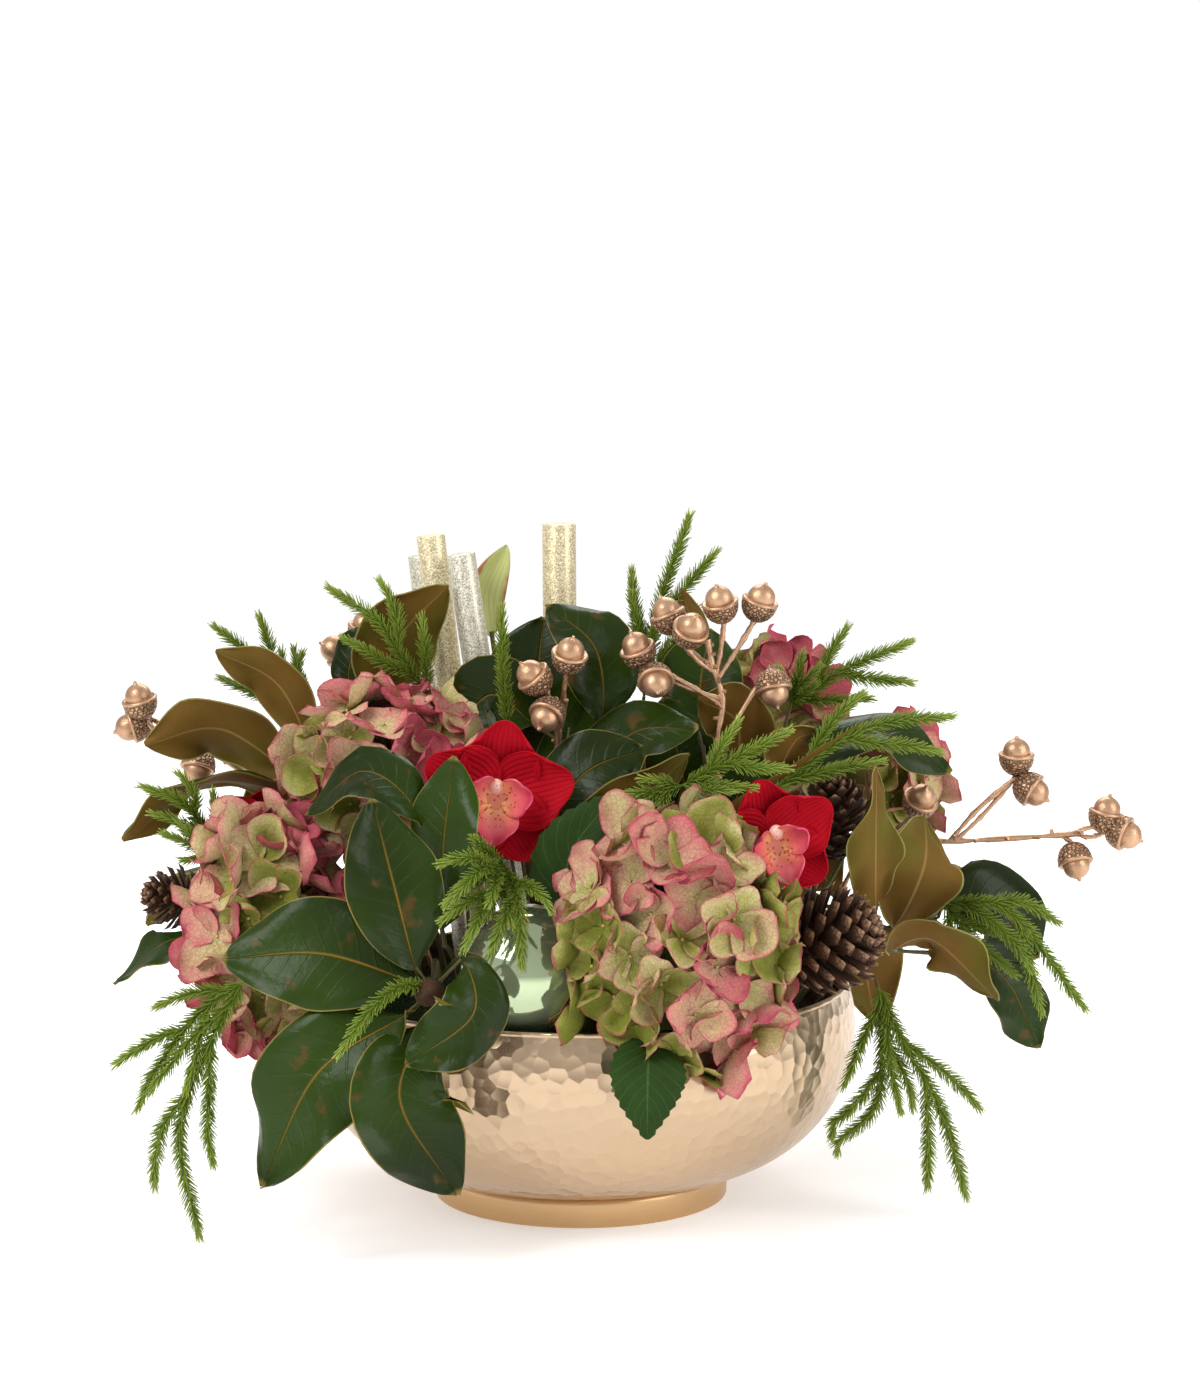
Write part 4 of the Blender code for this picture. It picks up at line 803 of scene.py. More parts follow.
lip_shade = between(step(abs(off), 0.75, 1.0) * 0.6, lip_shade, (0.56, 0.05, 0.10))
dress(lip_pink, Base_Color=between(speck * 0.85, lip_shade, (0.36, 0.008, 0.014)), Roughness=0.42,
      Normal=bump(grain(start, 500, 3), 0.4, 0.5))
orchid_stalk, start = finish("orchid_stem_green")
dress(orchid_stalk, Base_Color=between(grain(start, 160, 3), (0.05, 0.085, 0.014), (0.13, 0.16, 0.035)),
      Roughness=0.55, Normal=bump(grain(start, 400, 3), 0.3, 0.5))
column_white, start = finish("orchid_column_white")
column_spots = 1 - step(cells(start, 500), 0.14, 0.22)
dress(column_white, Base_Color=between(column_spots, (0.84, 0.52, 0.42), (0.42, 0.03, 0.04)), Roughness=0.4)


def petal_outline(share):
    return 0.16 + 0.84 * max(1 - abs(2 * min(0.06 + 0.87 * share, 1) - 1) ** 2.2, 0) ** 0.5


for name, (centre, face, size, hole, roll) in orchids.items():
    centre, face, size = sight(*centre), Vector(face).normalized(), size * MM
    side = Vector((0, 0, 1)).cross(face).normalized()
    up = face.cross(side)
    bloom = bmesh.new()
    join(bloom, turned([(0, 0), (6, 0), (7, 1.5), (7, 8), (6, 9), (0, 9)], 20),
         stand(centre - face * 8 * MM, face))
    for index, degrees in enumerate((0, 68, 140, 220, 292)):
        turn = math.radians(degrees + roll)
        out = math.sin(turn) * side + math.cos(turn) * up
        reach = size * (1.0 if index in (0, 1, 4) else 0.88)
        lift = (9 + 4 * (index % 2)) * MM
        layer = (-1.5 if index in (1, 4) else -5) * MM
        petal(bloom, centre + out * 4 * MM + face * layer, out, face, reach - 4 * MM, size * 1.02, lift - layer,
              0.26, 14, 14, 1.5 * MM, 0.8 * MM, petal_outline)
    stem(bloom, stem_hole(*hole) + [centre - face * 26 * MM, centre - face * 4 * MM], material=1)
    show(name + "_petals", bloom, [red_cloth, orchid_stalk], 60)
    seat = centre + face * (1 * MM + FIT_GAP)
    lip = bmesh.new()
    join(lip, turned([(0, 0), (5, 0), (6, 3), (7, 6), (0, 6)], 16), stand(seat, face))
    for index, degrees in enumerate((180, 75, 285)):
        turn = math.radians(degrees + roll)
        out = math.sin(turn) * side + math.cos(turn) * up
        reach = size * (0.52, 0.38, 0.38)[index]
        petal(lip, seat + face * 4 * MM + out * 3 * MM, out, face, reach, size * (0.60, 0.50, 0.50)[index],
              (12, 19, 19)[index] * MM, 0.6, 12, 12, 1.4 * MM, 1.1 * MM, petal_outline)
    column = turned([(0, 0), (3.8, 0), (4.8, 4), (4.6, 8), (2.8, 10.6), (0, 11.4)], 16)
    join(lip, column, stand(seat + face * 3 * MM + up * 6 * MM, face + up * 0.6), 1)
    show(name + "_lip", lip, [lip_pink, column_white], 60)

# The magnolia sprays: cloth leaves on wired stems, glossy dark green above with a yellow rib
# and edge, brown suede below. The front one carries a brown bud and a short conifer sprig.
# The stem's hole, its fork, and each leaf: base, middle, tip, width, upper side, wave
magnolia_sprays = {
    "magnolia_front_left": ((-88, -104), [(-102, 166, 156), (-104, 142, 192)], [
        ((-120, 150, 194), (-183, 170, 194), (-252, 166, 186), 76, (0.1, -1, 0.5), 3),
        ((-116, 160, 196), (-132, 222, 194), (-146, 280, 172), 64, (0.3, -1, 0.1), 3),
        ((-124, 126, 200), (-186, 84, 214), (-226, 2, 204), 74, (-0.3, -1, 0.4), 7),
        ((-110, 120, 204), (-128, 64, 224), (-88, -4, 218), 68, (0.2, -1, 0.3), 7),
        ((-84, 166, 202), (-76, 126, 222), (-124, 90, 228), 50, (0.3, -1, 0.2), 6),
    ]),
    "magnolia_left_centre": ((-76, -84), [(-90, 168, 130), (-96, 176, 142)], [
        ((-98, 190, 148), (-96, 250, 160), (-88, 310, 152), 58, (-0.6, -1, 0.1), 3),
        ((-110, 262, 150), (-150, 300, 140), (-192, 268, 132), 46, (0, -0.6, 1), 3),
    ]),
    "magnolia_left_upper": ((-122, -18), [(-150, 220, 4), (-190, 296, 10)], [
        ((-204, 300, 16), (-252, 330, 20), (-304, 318, 26), 58, (-0.1, 1, 0.7), 4),
        ((-190, 318, 8), (-212, 362, 6), (-254, 384, 10), 38, (-0.3, 1, 0.6), 3),
        ((-204, 286, 22), (-262, 292, 34), (-320, 250, 40), 46, (-0.2, 0.5, 1), 4),
    ]),
    "magnolia_left_low": ((-148, -26), [(-206, 208, 26), (-244, 190, 50)], [
        ((-256, 184, 56), (-292, 178, 62), (-328, 148, 66), 42, (-0.2, -0.3, 1), 3),
    ]),
    "magnolia_top_left": ((-94, 6), [(-120, 260, 0), (-144, 340, -4)], [
        ((-144, 348, -2), (-126, 394, 2), (-92, 430, 2), 60, (-0.4, 1, 0.3), 3),
        ((-160, 352, -22), (-160, 378, -26), (-146, 402, -28), 34, (-0.6, -1, 0.2), 2),
    ]),
    "magnolia_top_centre": ((-8, -22), [(-6, 240, 30), (-10, 318, 42)], [
        ((-34, 334, 40), (-62, 354, 40), (-86, 330, 38), 56, (-0.2, -1, 0.2), 3),
        ((-8, 330, 32), (-28, 366, 34), (-26, 408, 26), 76, (-0.2, -1, 0.2), 3),
        ((14, 334, 54), (10, 386, 50), (-24, 416, 40), 58, (0.5, -1, 0.4), 4),
        ((-8, 262, 40), (6, 302, 36), (14, 352, 28), 78, (-0.1, -1, 0.2), 3),
        ((-22, 286, 26), (-36, 314, 24), (-46, 350, 22), 58, (-0.1, -1, 0.1), 2),
    ]),
    "magnolia_centre": ((8, -84), [(0, 200, 96), (-26, 234, 106)], [
        ((-26, 244, 108), (0, 296, 106), (44, 316, 98), 60, (-0.4, -1, 0.4), 3),
        ((-8, 262, 94), (32, 324, 84), (82, 330, 84), 60, (-0.1, -0.7, 1), 3),
        ((-22, 236, 112), (34, 274, 118), (76, 312, 108), 52, (-0.4, 1, 0.5), 3),
    ]),
    "magnolia_right_centre": ((54, -10), [(70, 240, 30), (88, 306, 44)], [
        ((108, 310, 48), (108, 336, 54), (82, 350, 56), 54, (0.2, 1, 0.4), 3),
        ((82, 330, 26), (84, 366, 20), (90, 400, 12), 60, (-0.2, -1, 0.2), 3),
        ((78, 262, 30), (70, 304, 28), (58, 352, 22), 64, (-0.1, -1, 0.2), 3),
        ((84, 350, 2), (80, 392, -6), (70, 428, -10), 24, (0.2, 1, 0.2), 2),
        ((98, 262, 60), (110, 284, 62), (122, 314, 60), 46, (-0.1, -1, 0.2), 2),
    ]),
    "magnolia_right_upper": ((92, -24), [(112, 240, 36), (128, 284, 46)], [
        ((136, 296, 66), (150, 322, 72), (164, 326, 66), 34, (-0.3, 1, 0.5), 3),
        ((138, 296, 34), (202, 328, 30), (258, 298, 28), 54, (0.1, -0.5, 1), 4),
    ]),
    "magnolia_right_tall": ((144, -26), [(186, 184, 36), (203, 186, 52)], [
        ((206, 196, 60), (206, 240, 92), (206, 304, 96), 40, (-0.8, 1, 0.2), 6),
        ((220, 190, 50), (240, 232, 66), (240, 268, 38), 62, (-0.3, 1, 0.3), 4),
    ]),
    "magnolia_right_low": ((146, 2), [(190, 176, 8), (222, 172, 30)], [
        ((220, 174, 58), (248, 180, 76), (294, 136, 74), 58, (0.1, 0.6, 1), 4),
        ((256, 204, 8), (290, 206, 4), (320, 166, 0), 66, (0.3, -1, 0.6), 3),
        ((268, 168, 10), (300, 150, 12), (322, 102, 8), 50, (0.5, -1, 0.5), 4),
    ]),
    "magnolia_back_left": ((-118, 66), [(-160, 190, -90), (-196, 210, -110)], [
        ((-206, 214, -112), (-258, 230, -124), (-304, 190, -132), 62, (-0.2, 0.4, 1), 4),
        ((-196, 226, -118), (-214, 268, -142), (-222, 306, -150), 54, (-0.3, 1, 0.2), 4),
        ((-190, 200, -126), (-206, 176, -184), (-214, 116, -222), 64, (-0.3, 1, 0.5), 5),
        ((-184, 206, -126), (-148, 210, -158), (-104, 204, -170), 56, (0, 0.7, 1), 4),
    ]),
    "magnolia_back_centre": ((6, 132), [(16, 190, -160), (14, 200, -182)], [
        ((6, 206, -190), (-30, 236, -216), (-64, 220, -250), 60, (-0.2, 1, 0.6), 4),
        ((20, 214, -186), (26, 270, -200), (20, 326, -190), 60, (0.1, 1, 0.2), 4),
        ((20, 196, -194), (40, 160, -230), (40, 92, -238), 66, (0.1, 1, 0.4), 5),
        ((22, 208, -172), (34, 236, -134), (40, 252, -92), 64, (0.1, 0.4, 1), 4),
    ]),
    "magnolia_back_right": ((112, 84), [(156, 190, -106), (184, 206, -128)], [
        ((192, 210, -132), (240, 226, -150), (292, 196, -168), 60, (0.2, 0.5, 1), 4),
        ((186, 196, -142), (196, 176, -196), (208, 118, -228), 62, (0.3, 1, 0.5), 5),
        ((176, 214, -146), (158, 256, -176), (140, 296, -186), 56, (0.1, 1, 0.3), 4),
        ((168, 204, -128), (124, 222, -134), (82, 214, -142), 66, (0, 0.6, 1), 4),
    ]),
}
FRONT_SPRIG = ((-126, 146, 220), (-148, 130, 238), (-168, 102, 246))
leaf_gloss, start = finish("magnolia_upper_green")
along, off = along_and_across(start)
cloud = grain(start, 26, 4)
age = step(grain(start, 7, 1), 0.36, 0.64)
rib = 1 - step(abs(off), 0.0, 0.045)
side_ribs = step(start.math("SINE", (along * 11 - abs(off) * 1.7 + cloud * 0.5) * math.tau), 0.80, 1.0)
side_ribs = side_ribs * (1 - abs(off))
rim = step(start.math("MAXIMUM", abs(off), along), 0.965, 0.995)
leaf_green = between(age, (0.006, 0.012, 0.001), (0.022, 0.050, 0.003))
leaf_green = between(cloud * 0.8, leaf_green, (0.016, 0.029, 0.002))
leaf_green = between(side_ribs * 0.08, leaf_green, (0.055, 0.085, 0.008))
worn_spots = step(grain(start, 60, 5), 0.60, 0.72)
leaf_green = between(worn_spots * 0.6, leaf_green, (0.10, 0.045, 0.010))
leaf_green = between(rib * (0.8 - along * 0.6), leaf_green, (0.30, 0.17, 0.02))
dress(leaf_gloss, Base_Color=between(rim * 0.6, leaf_green, (0.34, 0.25, 0.06)), Roughness=0.20 + cloud * 0.22,
      Specular_IOR_Level=0.17,
      Normal=bump(side_ribs * 0.16 - rib * 0.8 + cloud * 1.8 + grain(start, 300, 3) * 0.14, 1.6, 0.85))
leaf_suede, start = finish("magnolia_under_suede")
along, off = along_and_across(start)
cloud = grain(start, 22, 3)
fuzz = grain(start, 900, 2)
rib = 1 - step(abs(off), 0.0, 0.06)
rim = step(abs(off), 0.95, 0.99)
suede = between(cloud + (fuzz - 0.5) * 0.3, (0.066, 0.036, 0.005), (0.20, 0.105, 0.018))
suede = between(step(grain(start, 12), 0.42, 0.60) * 0.75, suede, (0.095, 0.088, 0.008))
suede = between(rib * 0.6 * (1 - along * 0.6), suede, (0.45, 0.26, 0.09))
dress(leaf_suede, Base_Color=between(rim * 0.7, suede, (0.35, 0.36, 0.12)), Roughness=0.65,
      Specular_IOR_Level=0.12, Normal=bump(rib + fuzz * 0.3, 0.6, 0.6))
stem_bark, start = finish("leaf_stem")
dress(stem_bark, Base_Color=between(grain(start, 200, 3), (0.035, 0.045, 0.012), (0.14, 0.10, 0.035)),
      Roughness=0.65, Normal=bump(grain(start, 500, 3), 0.4, 0.6))
needle_green, start = finish("conifer_needle_green")
young = start.node("Attribute", {"attribute_name": "young"}, {}, 2)
green = between(grain(start, 40, 2), (0.055, 0.100, 0.004), (0.14, 0.21, 0.012))
green = between(young * young * 0.85, green, (0.32, 0.40, 0.075))
dress(needle_green, Base_Color=green, Roughness=0.6, Specular_IOR_Level=0.2,
      Normal=bump(grain(start, 900), 0.2, 0.3))
NEEDLE_LENGTH = 9.5 * MM
NEEDLE_GAP = 2.3 * MM
NEEDLE_LEAN = math.radians(41)
NEEDLES_A_WHORL = 7
TIP_TAPER = 22 * MM
SHOOT_STEPS = 20


def magnolia_outline(share):
    return 0.03 + 0.97 * max(math.sin(math.pi * share ** 0.92), 0) ** 0.72


def needles(sprig, points, tree, draw, material=0):
    """Adds a branch with whorls of soft needles that sweep forward all round it."""
    shape = bmesh.new()
    young = shape.verts.layers.float.new("young")
    length = sum((end - start).length for start, end in zip(points, points[1:]))
    count = max(round(length / NEEDLE_GAP), 3)
    line = evenly(points, count)
    for index in range(1, count + 1):
        line[index] = push_out(line[index], 4 * MM)
    frames = carried_frames(line)
    wire = line[::3] + [line[-1]]
    rod(shape, wire, [0.9 * MM] * len(wire), 6, material)
    for index in range(1, count + 1):
        direction, right, up = frames[index]
        end = min((count - index) * NEEDLE_GAP / TIP_TAPER, 1)
        lean = NEEDLE_LEAN * (0.35 + 0.65 * end)
        for turn_index in range(NEEDLES_A_WHORL):
            turn = math.tau * turn_index / NEEDLES_A_WHORL + index * 2.1 + draw.uniform(-0.2, 0.2)
            across = math.cos(turn) * right + math.sin(turn) * up
            way = (direction * math.cos(lean) + across * math.sin(lean)).normalized()
            way = (way + Vector(draw.uniform(-0.10, 0.10) for axis in range(3))).normalized()
            reach = NEEDLE_LENGTH * draw.uniform(0.8, 1.08)
            if tree is not None:
                reach = room(tree, line[index], way, reach)
            if reach < 2.5 * MM:
                continue
            middle = line[index] + way * reach / 2
            made = bmesh.ops.create_cone(shape, cap_ends=True, segments=4, radius1=0.65 * MM, radius2=0.25 * MM,
                                         depth=reach, matrix=stand(middle, way))["verts"]
            for vertex in made:
                near_tip = (vertex.co - line[index]).length > reach * 0.6
                vertex[young] = (0.75 if near_tip else 0.15) + 0.25 * (1 - end)
            paint(made, material)
    join(sprig, shape)


def side_shoot(shape, points, share, way, tree, draw):
    """Adds a shorter shoot that leaves a branch, spreads a little and runs along with it."""
    line = evenly(points, SHOOT_STEPS)
    first = round(share * SHOOT_STEPS)
    length = (line[-1] - line[0]).length
    direction = (line[first + 1] - line[first]).normalized()
    side = direction.cross(Vector((0, -1, 0.3))).normalized() * way
    route = [line[first]]
    for step_on, spread in ((3, 11), (6, 19), (8, 24)):
        index = min(first + step_on, SHOOT_STEPS)
        spread = spread * min(length / (90 * MM), 1) * MM
        route.append(line[index] + side * spread + Vector((0, -3, 0)) * MM)
    needles(shape, route, tree, draw)


for name, (hole, fork, leaves) in magnolia_sprays.items():
    draw = random.Random(name)
    fork_points = seen(fork)
    joint = fork_points[-1]
    before = (joint - fork_points[-2]).normalized()
    spray = bmesh.new()
    spray.verts.layers.float.new("young")
    stem(spray, stem_hole(*hole) + fork_points, material=2)
    for index, (base, middle, tip, width, face, wave) in enumerate(leaves):
        base, middle, tip = sight(*base), sight(*middle), sight(*tip)
        start = joint - before * (1 + 1.3 * index) * MM
        length = (base - start).length + (middle - base).length + (tip - middle).length
        stalk = max((base - start).length / length, 0.02)
        leaf_blade(spray, [start, base, middle, tip], width * MM, face, magnolia_outline, 28, 12, stalk,
                   wave=wave * MM, back=1)
        rod(spray, [start, start.lerp(base, 0.5), base], [1.5 * MM, 1.2 * MM, 1.1 * MM], 7, 2)
    if name == "magnolia_front_left":
        bud = turned([(0, 0), (3, 0), (7.5, 4), (9.5, 9), (9, 15), (6.5, 20), (2, 24), (0, 25)], 20)
        join(spray, bud, stand(joint - before * 3.7 * MM, (-0.25, -1, 0.05)), 3)
        needles(spray, [joint - before * 5 * MM] + seen(FRONT_SPRIG), None, draw, 4)
    show(name, spray, [leaf_gloss, leaf_suede, stem_bark, cone_wood, needle_green], 60)

# The bud leaf: one pale pointed cloth leaf, folded round itself on a thin stem, behind the
# glitter sticks.
pale_cloth, start = finish("pale_bud_cloth")
along, off = along_and_across(start)
cloud = grain(start, 45, 3)
pale = between(cloud, (0.42, 0.46, 0.13), (0.58, 0.60, 0.26))
lines = step(start.math("SINE", off * 24), 0.5, 1.0)
pale = between(lines * 0.35, pale, (0.30, 0.34, 0.08))
dress(pale_cloth, Base_Color=between(step(cloud * 0.6 + abs(off) * 0.6, 0.68, 0.86) * 0.8, pale, (0.34, 0.07, 0.02)),
      Roughness=0.55, Normal=bump(lines, 0.3, 0.5))
bud = bmesh.new()
bud_base = sight(-62, 398, -38)
stem(bud, stem_hole(-34, 46) + [sight(-48, 290, -44), bud_base], material=1)
leaf_blade(bud, [bud_base - Vector((0, 0, 4 * MM)), sight(-66, 425, -38), sight(-51, 458, -36)], 27 * MM,
           (0.3, -1, 0.1), magnolia_outline, 24, 12, fold=0.5, thickness=1.2 * MM)
show("pale_bud_leaf", bud, [pale_cloth, stem_bark], 60)

# The acorn sprays: moulded acorns on knobbly twigs, brushed all over with rose gold paint.
# Each cap is pebbled and has a smooth rim, and each nut ends in a small point.
# The stem's hole, the twig, and each acorn: place, where it points, its point on the twig
acorn_sprays = {
    "acorn_spray_centre": ((66, -38), [
        (92, 270, 74), (95, 320, 76), (99, 350, 74), (92, 372, 74), (88, 392, 72)], [
        ((61, 408, 66), (-0.4, 0, 1), 4), ((76, 398, 86), (0.3, -0.6, 0.8), 4),
        ((97, 416, 76), (-0.2, -0.3, 1), 4), ((124, 417, 70), (0.3, -0.2, 1), 4),
        ((40, 384, 70), (-0.4, -0.3, 1), 3), ((52, 364, 82), (0.1, -0.8, -0.5), 3),
        ((134, 359, 74), (0.2, -0.4, -1), 2),
    ]),
    "acorn_spray_small": ((-14, -54), [(-16, 250, 50), (-16, 318, 62), (-10, 350, 86)], [
        ((-32, 365, 88), (-0.7, -0.3, 0.8), 2), ((-8, 380, 84), (0.2, -0.4, 1), 2),
        ((-23, 340, 96), (-0.4, -0.7, -0.6), 2),
    ]),
    "acorn_spray_right": ((150, 30), [
        (196, 240, 4), (230, 250, 2), (262, 250, 2), (330, 254, 6), (352, 256, 8)], [
        ((304, 309, 2), (0, -0.1, 1), 3), ((314, 287, 8), (0.8, -0.3, -0.5), 3),
        ((367, 268, 6), (0.2, 0, 1), 5), ((379, 256, 12), (0.8, -0.4, -0.3), 5),
        ((346, 237, 10), (0.2, -0.5, -1), 4), ((237, 278, 14), (0.2, -0.4, 0.6), 1),
    ]),
    "acorn_spray_left": ((-136, 40), [(-196, 260, -36), (-246, 306, -28), (-286, 322, -24)], [
        ((-307, 348, -22), (-0.2, -0.2, 1), 3), ((-311, 332, -30), (-0.9, -0.2, -0.3), 3),
        ((-267, 304, -22), (-0.2, -0.5, -1), 2),
    ]),
    "acorn_spray_top_left": ((-104, 32), [(-140, 270, -44), (-150, 340, -56), (-152, 370, -58)], [
        ((-150, 399, -60), (0.2, -0.2, 1), 3), ((-168, 384, -56), (-0.8, -0.3, 0.4), 3),
    ]),
}
TWIG_RADIUS = 2.0 * MM
rose_cap, start = finish("rose_gold_pebbled")
# The gaps between the cap's pebbles are painted dark brown: painted shade in the gaps.
shaded_pebble_gaps = 1 - step(cells(start, 360, "DISTANCE_TO_EDGE"), 0.04, 0.24)
worn_gold = grain(start, 80, 3)
rose = between(worn_gold, (0.44, 0.25, 0.14), (0.68, 0.45, 0.29))
dress(rose_cap, Base_Color=between(shaded_pebble_gaps * 0.85, rose, (0.12, 0.055, 0.025)), Metallic=0.75,
      Roughness=0.38 + 0.14 * worn_gold, Normal=bump(shaded_pebble_gaps * -1, 1.4, 1.0))
rose_smooth, start = finish("rose_gold_smooth")
worn_gold = grain(start, 110, 4)
dress(rose_smooth, Base_Color=between(worn_gold, (0.30, 0.15, 0.075), (0.68, 0.44, 0.28)), Metallic=0.75,
      Roughness=0.34 + 0.14 * worn_gold, Normal=bump(grain(start, 260, 3), 0.8, 0.6))
cap_profile = [(0, -12.8), (2.4, -12.6), (5.8, -11.3), (9.0, -8.6), (11.2, -5), (12.2, -1.4), (12.3, 1.4), (0, 1.6)]
rim_profile = [(0, 1), (12, 1), (12.7, 1.7), (12.7, 2.6), (12, 3.4), (11, 3.6), (10, 3), (0, 2.8)]
nut_profile = [(0, 2), (9.4, 2.4), (9.5, 5), (9, 7.6), (7.9, 9.8), (6.2, 11.6), (4.2, 12.9), (2.2, 13.7), (1.4, 14.5),
               (0.9, 16), (0, 16.2)]
for name, (hole, twig, acorns) in acorn_sprays.items():
    twig_points = seen(twig)
    spray = bmesh.new()
    stem(spray, stem_hole(*hole) + twig_points, STEM_RADIUS, TWIG_RADIUS, 1, 6, 0.36)
    draw = random.Random(name)
    knots = 4 * (len(twig_points) - 1)
    for index in range(2, knots):
        root = bend(twig_points, index / knots)
        way = Vector((draw.uniform(-1, 1), draw.uniform(-1, 0.2), draw.uniform(-0.2, 1))).normalized()
        rod(spray, [root, root + way * draw.uniform(3, 7) * MM], [1.7 * MM, 1.3 * MM], 6, 1)
    for index, (place, face, fork) in enumerate(acorns):
        centre = sight(*place)
        face = Vector(face).normalized()
        seat = centre - face * 13 * MM
        start = twig_points[fork - 1]
        if fork > 1:
            start = start.lerp(twig_points[fork - 2], 0.13 * (index % 4))
        sag = start.lerp(seat, 0.5) + face * -2.5 * MM
        stem(spray, [start, start.lerp(sag, 0.1), sag, seat, seat + face * 2 * MM], 1.5 * MM, TWIG_RADIUS, 1, 5, 0.28)
        join(spray, turned(cap_profile, 28), stand(centre, face), 0)
        for profile in (rim_profile, nut_profile):
            join(spray, turned(profile, 28), stand(centre, face), 1)
    show(name, spray, [rose_cap, rose_smooth], 50)

# The conifer sprigs: soft moulded needles in close whorls on wire stems. Two of them hang
# over the bowl's rim.
# The stem's hole, the stem, the branches
conifer_sprigs = {
    "conifer_top_left": ((-76, -14), [(-82, 240, 4), (-94, 330, 2)], [
        [(-104, 346, 6), (-123, 378, 18), (-141, 405, 16), (-171, 426, 10)]]),
    "conifer_far_left": ((-118, 48), [(-160, 260, -40), (-184, 318, -34)], [
        [(-190, 330, -34), (-225, 376, -30), (-251, 399, -26)],
        [(-190, 330, -34), (-206, 356, -44), (-208, 380, -50)]]),
    "conifer_left": ((-150, 8), [(-206, 206, 8), (-250, 226, 36)], [
        [(-254, 244, 54), (-276, 276, 66), (-302, 287, 72)],
        [(-254, 242, 56), (-268, 246, 70), (-288, 254, 72)]]),
    "conifer_trailing_left": ((-124, -98), [(-152, 152, 150), (-206, 148, 166)], [
        [(-238, 150, 168), (-272, 124, 168), (-300, 86, 172), (-312, 62, 172)],
        [(-236, 144, 170), (-264, 100, 174), (-284, 40, 174), (-272, -30, 168)]]),
    "conifer_upright": ((-34, -34), [(-50, 250, 44), (-52, 320, 60)], [
        [(-51, 332, 62), (-54, 370, 62), (-55, 410, 58)]]),
    "conifer_over_ball": ((-46, -72), [(-50, 210, 100), (-58, 236, 128)], [
        [(-54, 232, 150), (-70, 230, 198), (-92, 208, 214)],
        [(-56, 228, 150), (-68, 204, 192), (-80, 178, 204)],
        [(-54, 230, 146), (-44, 206, 190), (-42, 166, 198)]]),
    "conifer_top_right": ((30, 10), [(38, 260, -10), (42, 340, -12)], [
        [(44, 352, -12), (54, 414, -14), (74, 474, -16)],
        [(44, 370, -12), (40, 398, -8), (36, 420, -6)]]),
    "conifer_right_upper": ((104, 16), [(130, 270, 4), (142, 330, 6)], [
        [(146, 346, 8), (185, 372, 10), (225, 389, 8)],
        [(146, 346, 8), (150, 364, 22), (153, 378, 28)]]),
    "conifer_centre_right": ((54, -62), [(66, 240, 112), (70, 284, 130)], [
        [(72, 290, 136), (97, 303, 142), (141, 326, 134)],
        [(66, 286, 136), (50, 282, 146), (34, 268, 148)],
        [(74, 288, 138), (92, 278, 150), (106, 268, 154)]]),
    "conifer_right_middle": ((120, -8), [(128, 230, 60), (134, 270, 74)], [
        [(134, 284, 82), (172, 316, 74), (214, 334, 66), (254, 338, 58)]]),
    "conifer_right_outer": ((150, 22), [(206, 184, 14), (246, 192, 26)], [
        [(254, 206, 34), (300, 200, 52), (352, 134, 46)],
        [(254, 200, 36), (276, 180, 48), (302, 158, 50)]]),
    "conifer_trailing_right": ((148, -52), [(186, 160, 64), (204, 156, 76)], [
        [(209, 146, 84), (228, 104, 94), (254, 58, 88), (272, -2, 76)],
        [(226, 100, 98), (210, 66, 92), (180, 32, 86)]]),
    "conifer_back_left": ((-54, 138), [(-70, 194, -158), (-96, 198, -200)], [
        [(-102, 190, -212), (-120, 140, -246), (-124, 76, -254)],
        [(-102, 200, -210), (-130, 222, -226), (-158, 222, -238)]]),
    "conifer_back_right": ((74, 118), [(86, 196, -162), (96, 200, -186)], [
        [(98, 200, -194), (112, 240, -224), (118, 290, -236)],
        [(98, 192, -196), (104, 150, -240), (100, 80, -250)]]),
}
for name, (hole, stalk, branches) in conifer_sprigs.items():
    draw = random.Random(name)
    tree = neighbours(name)
    first = sight(*branches[0][0])
    sprig = bmesh.new()
    sprig.verts.layers.float.new("young")
    stem(sprig, stem_hole(*hole) + seen(stalk) + [first], 1.4 * MM, 1.2 * MM, 1)
    for branch in branches:
        points = seen(branch)
        points[0] = points[0] if branch is branches[0] else first.lerp(points[0], 0.04)
        needles(sprig, points, tree, draw)
        if name != "conifer_upright":
            for share, way in ((0.08, 1), (0.26, -1), (0.46, 1)):
                side_shoot(sprig, points, share, way, tree, draw)
    show(name, sprig, [needle_green, stem_bark], 60)
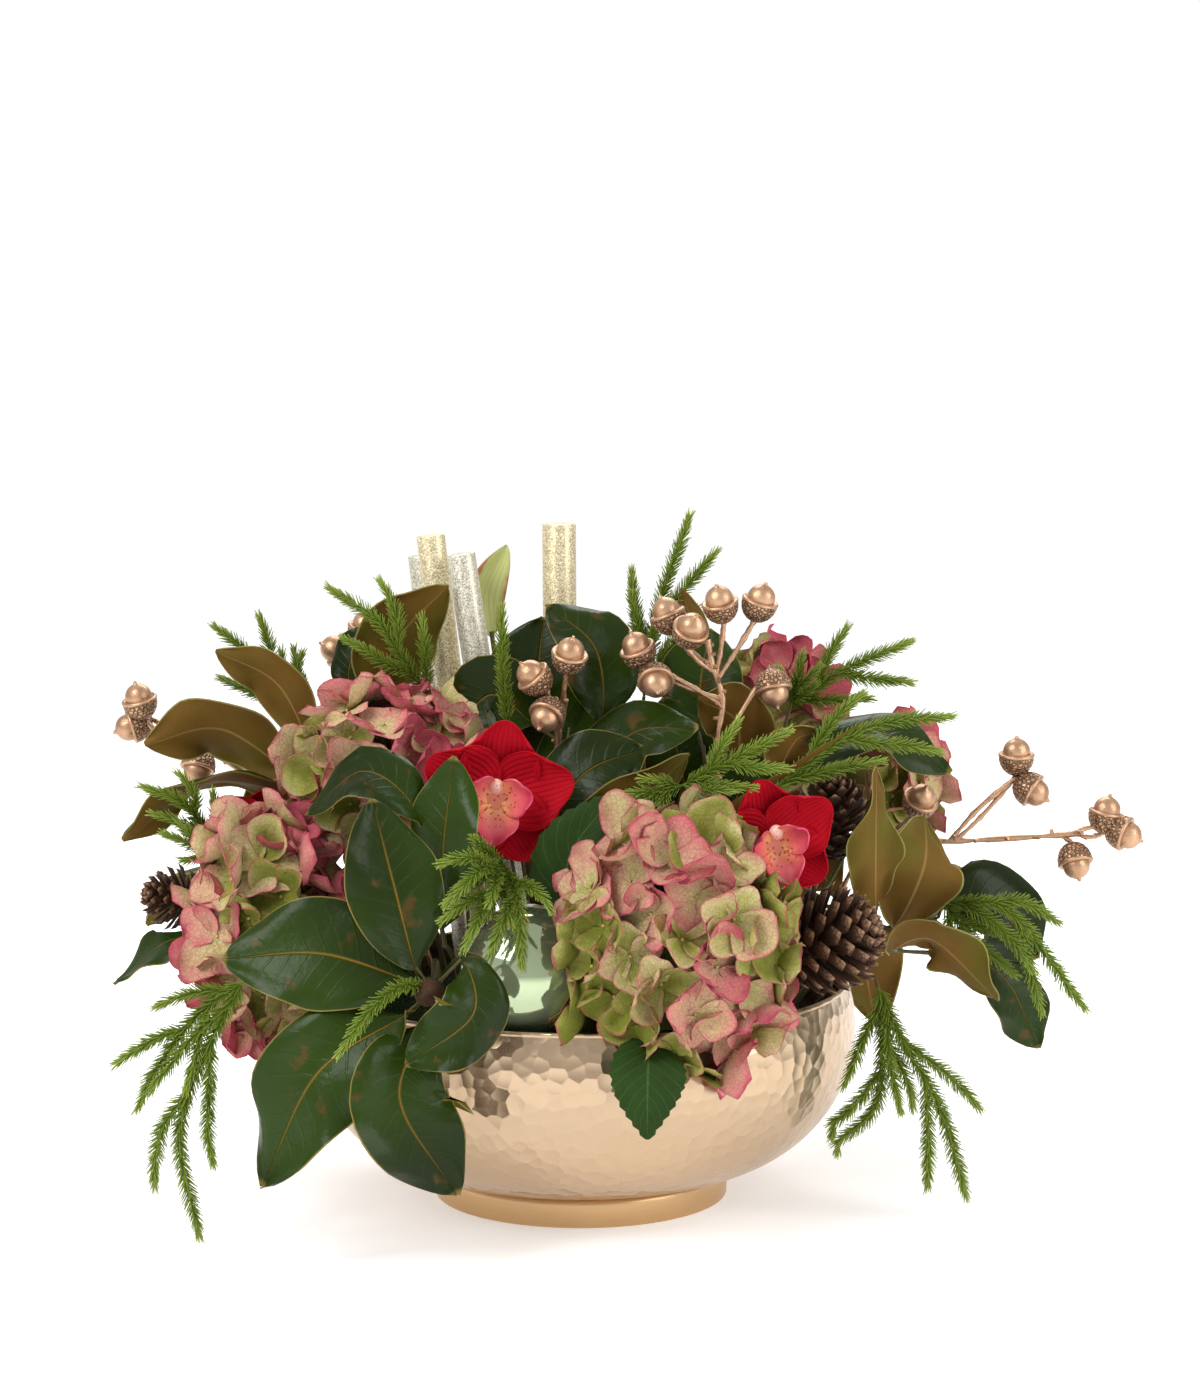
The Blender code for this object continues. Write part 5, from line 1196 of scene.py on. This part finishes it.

# The photograph's setting: a seamless pale floor that glows, dimmer round the bowl as a painted shadow,
# under a wide soft light, and the camera a little above the arrangement.
floor_shape = bmesh.new()
bmesh.ops.create_grid(floor_shape, x_segments=2, y_segments=2, size=20)
floor_mesh = bpy.data.meshes.new("pale_floor")
floor_shape.to_mesh(floor_mesh)
floor_shape.free()
floor_white, start = finish("pale_floor")
reach = start.node("VectorMath", {"operation": "LENGTH"}, {0: place_in(start)}, 1)
# The floor's glow is dimmer near the bowl: a painted shadow round it.
floor_glow_with_painted_shadow = between(step(reach, 0.25, 1.0), (0.36, 0.36, 0.36), (0.46, 0.46, 0.46))
dress(floor_white, Base_Color=(0.9, 0.9, 0.9, 1), Roughness=1.0, Specular_IOR_Level=0.0,
      Emission_Color=floor_glow_with_painted_shadow, Emission_Strength=1.0)
floor_mesh.materials.append(floor_white)
floor = bpy.data.objects.new("pale_floor", floor_mesh)
bpy.context.scene.collection.objects.link(floor)


def soft_light(name, place, height, size, power):
    """A wide lamp at a place, turned to a height on the bowl's axis."""
    lamp = bpy.data.lights.new(name, "AREA")
    lamp.shape = "RECTANGLE"
    lamp.size, lamp.size_y = size
    lamp.energy = power
    made = bpy.data.objects.new(name, lamp)
    made.location = place
    made.rotation_euler = (Vector((0, 0, height)) - Vector(place)).to_track_quat("-Z", "Y").to_euler()
    bpy.context.scene.collection.objects.link(made)


soft_light("large_key", (-1.3, -1.2, 1.7), 0.2, (1.2, 1.2), 36)
soft_light("right_fill", (1.6, -0.9, 1.0), 0.2, (0.9, 1.4), 18)
soft_light("top_back", (0.2, 1.4, 1.9), 0.25, (1.6, 1.0), 26)
bpy.context.scene.view_settings.view_transform = "Standard"
world = bpy.data.worlds.new("pale_studio")
bpy.context.scene.world = world
world.use_nodes = True
world.node_tree.nodes["Background"].inputs["Color"].default_value = (1, 1, 1, 1)
to_the_camera = Signal(world.node_tree).node("LightPath")
brightness = to_the_camera * 0.46 + 0.60  # the backdrop looks brighter than it lights
world.node_tree.links.new(brightness.output, world.node_tree.nodes["Background"].inputs["Strength"])

VIEW_LENS = 97.7
VIEW_TILT = 7.58
camera = bpy.data.cameras.new("photo_view")
camera.lens = VIEW_LENS
camera.sensor_width = 36
camera.clip_end = 50
viewer = bpy.data.objects.new("photo_view", camera)
viewer.location = EYE
viewer.rotation_euler = (math.radians(90 - VIEW_TILT), 0, 0)
bpy.context.scene.collection.objects.link(viewer)
bpy.context.scene.camera = viewer
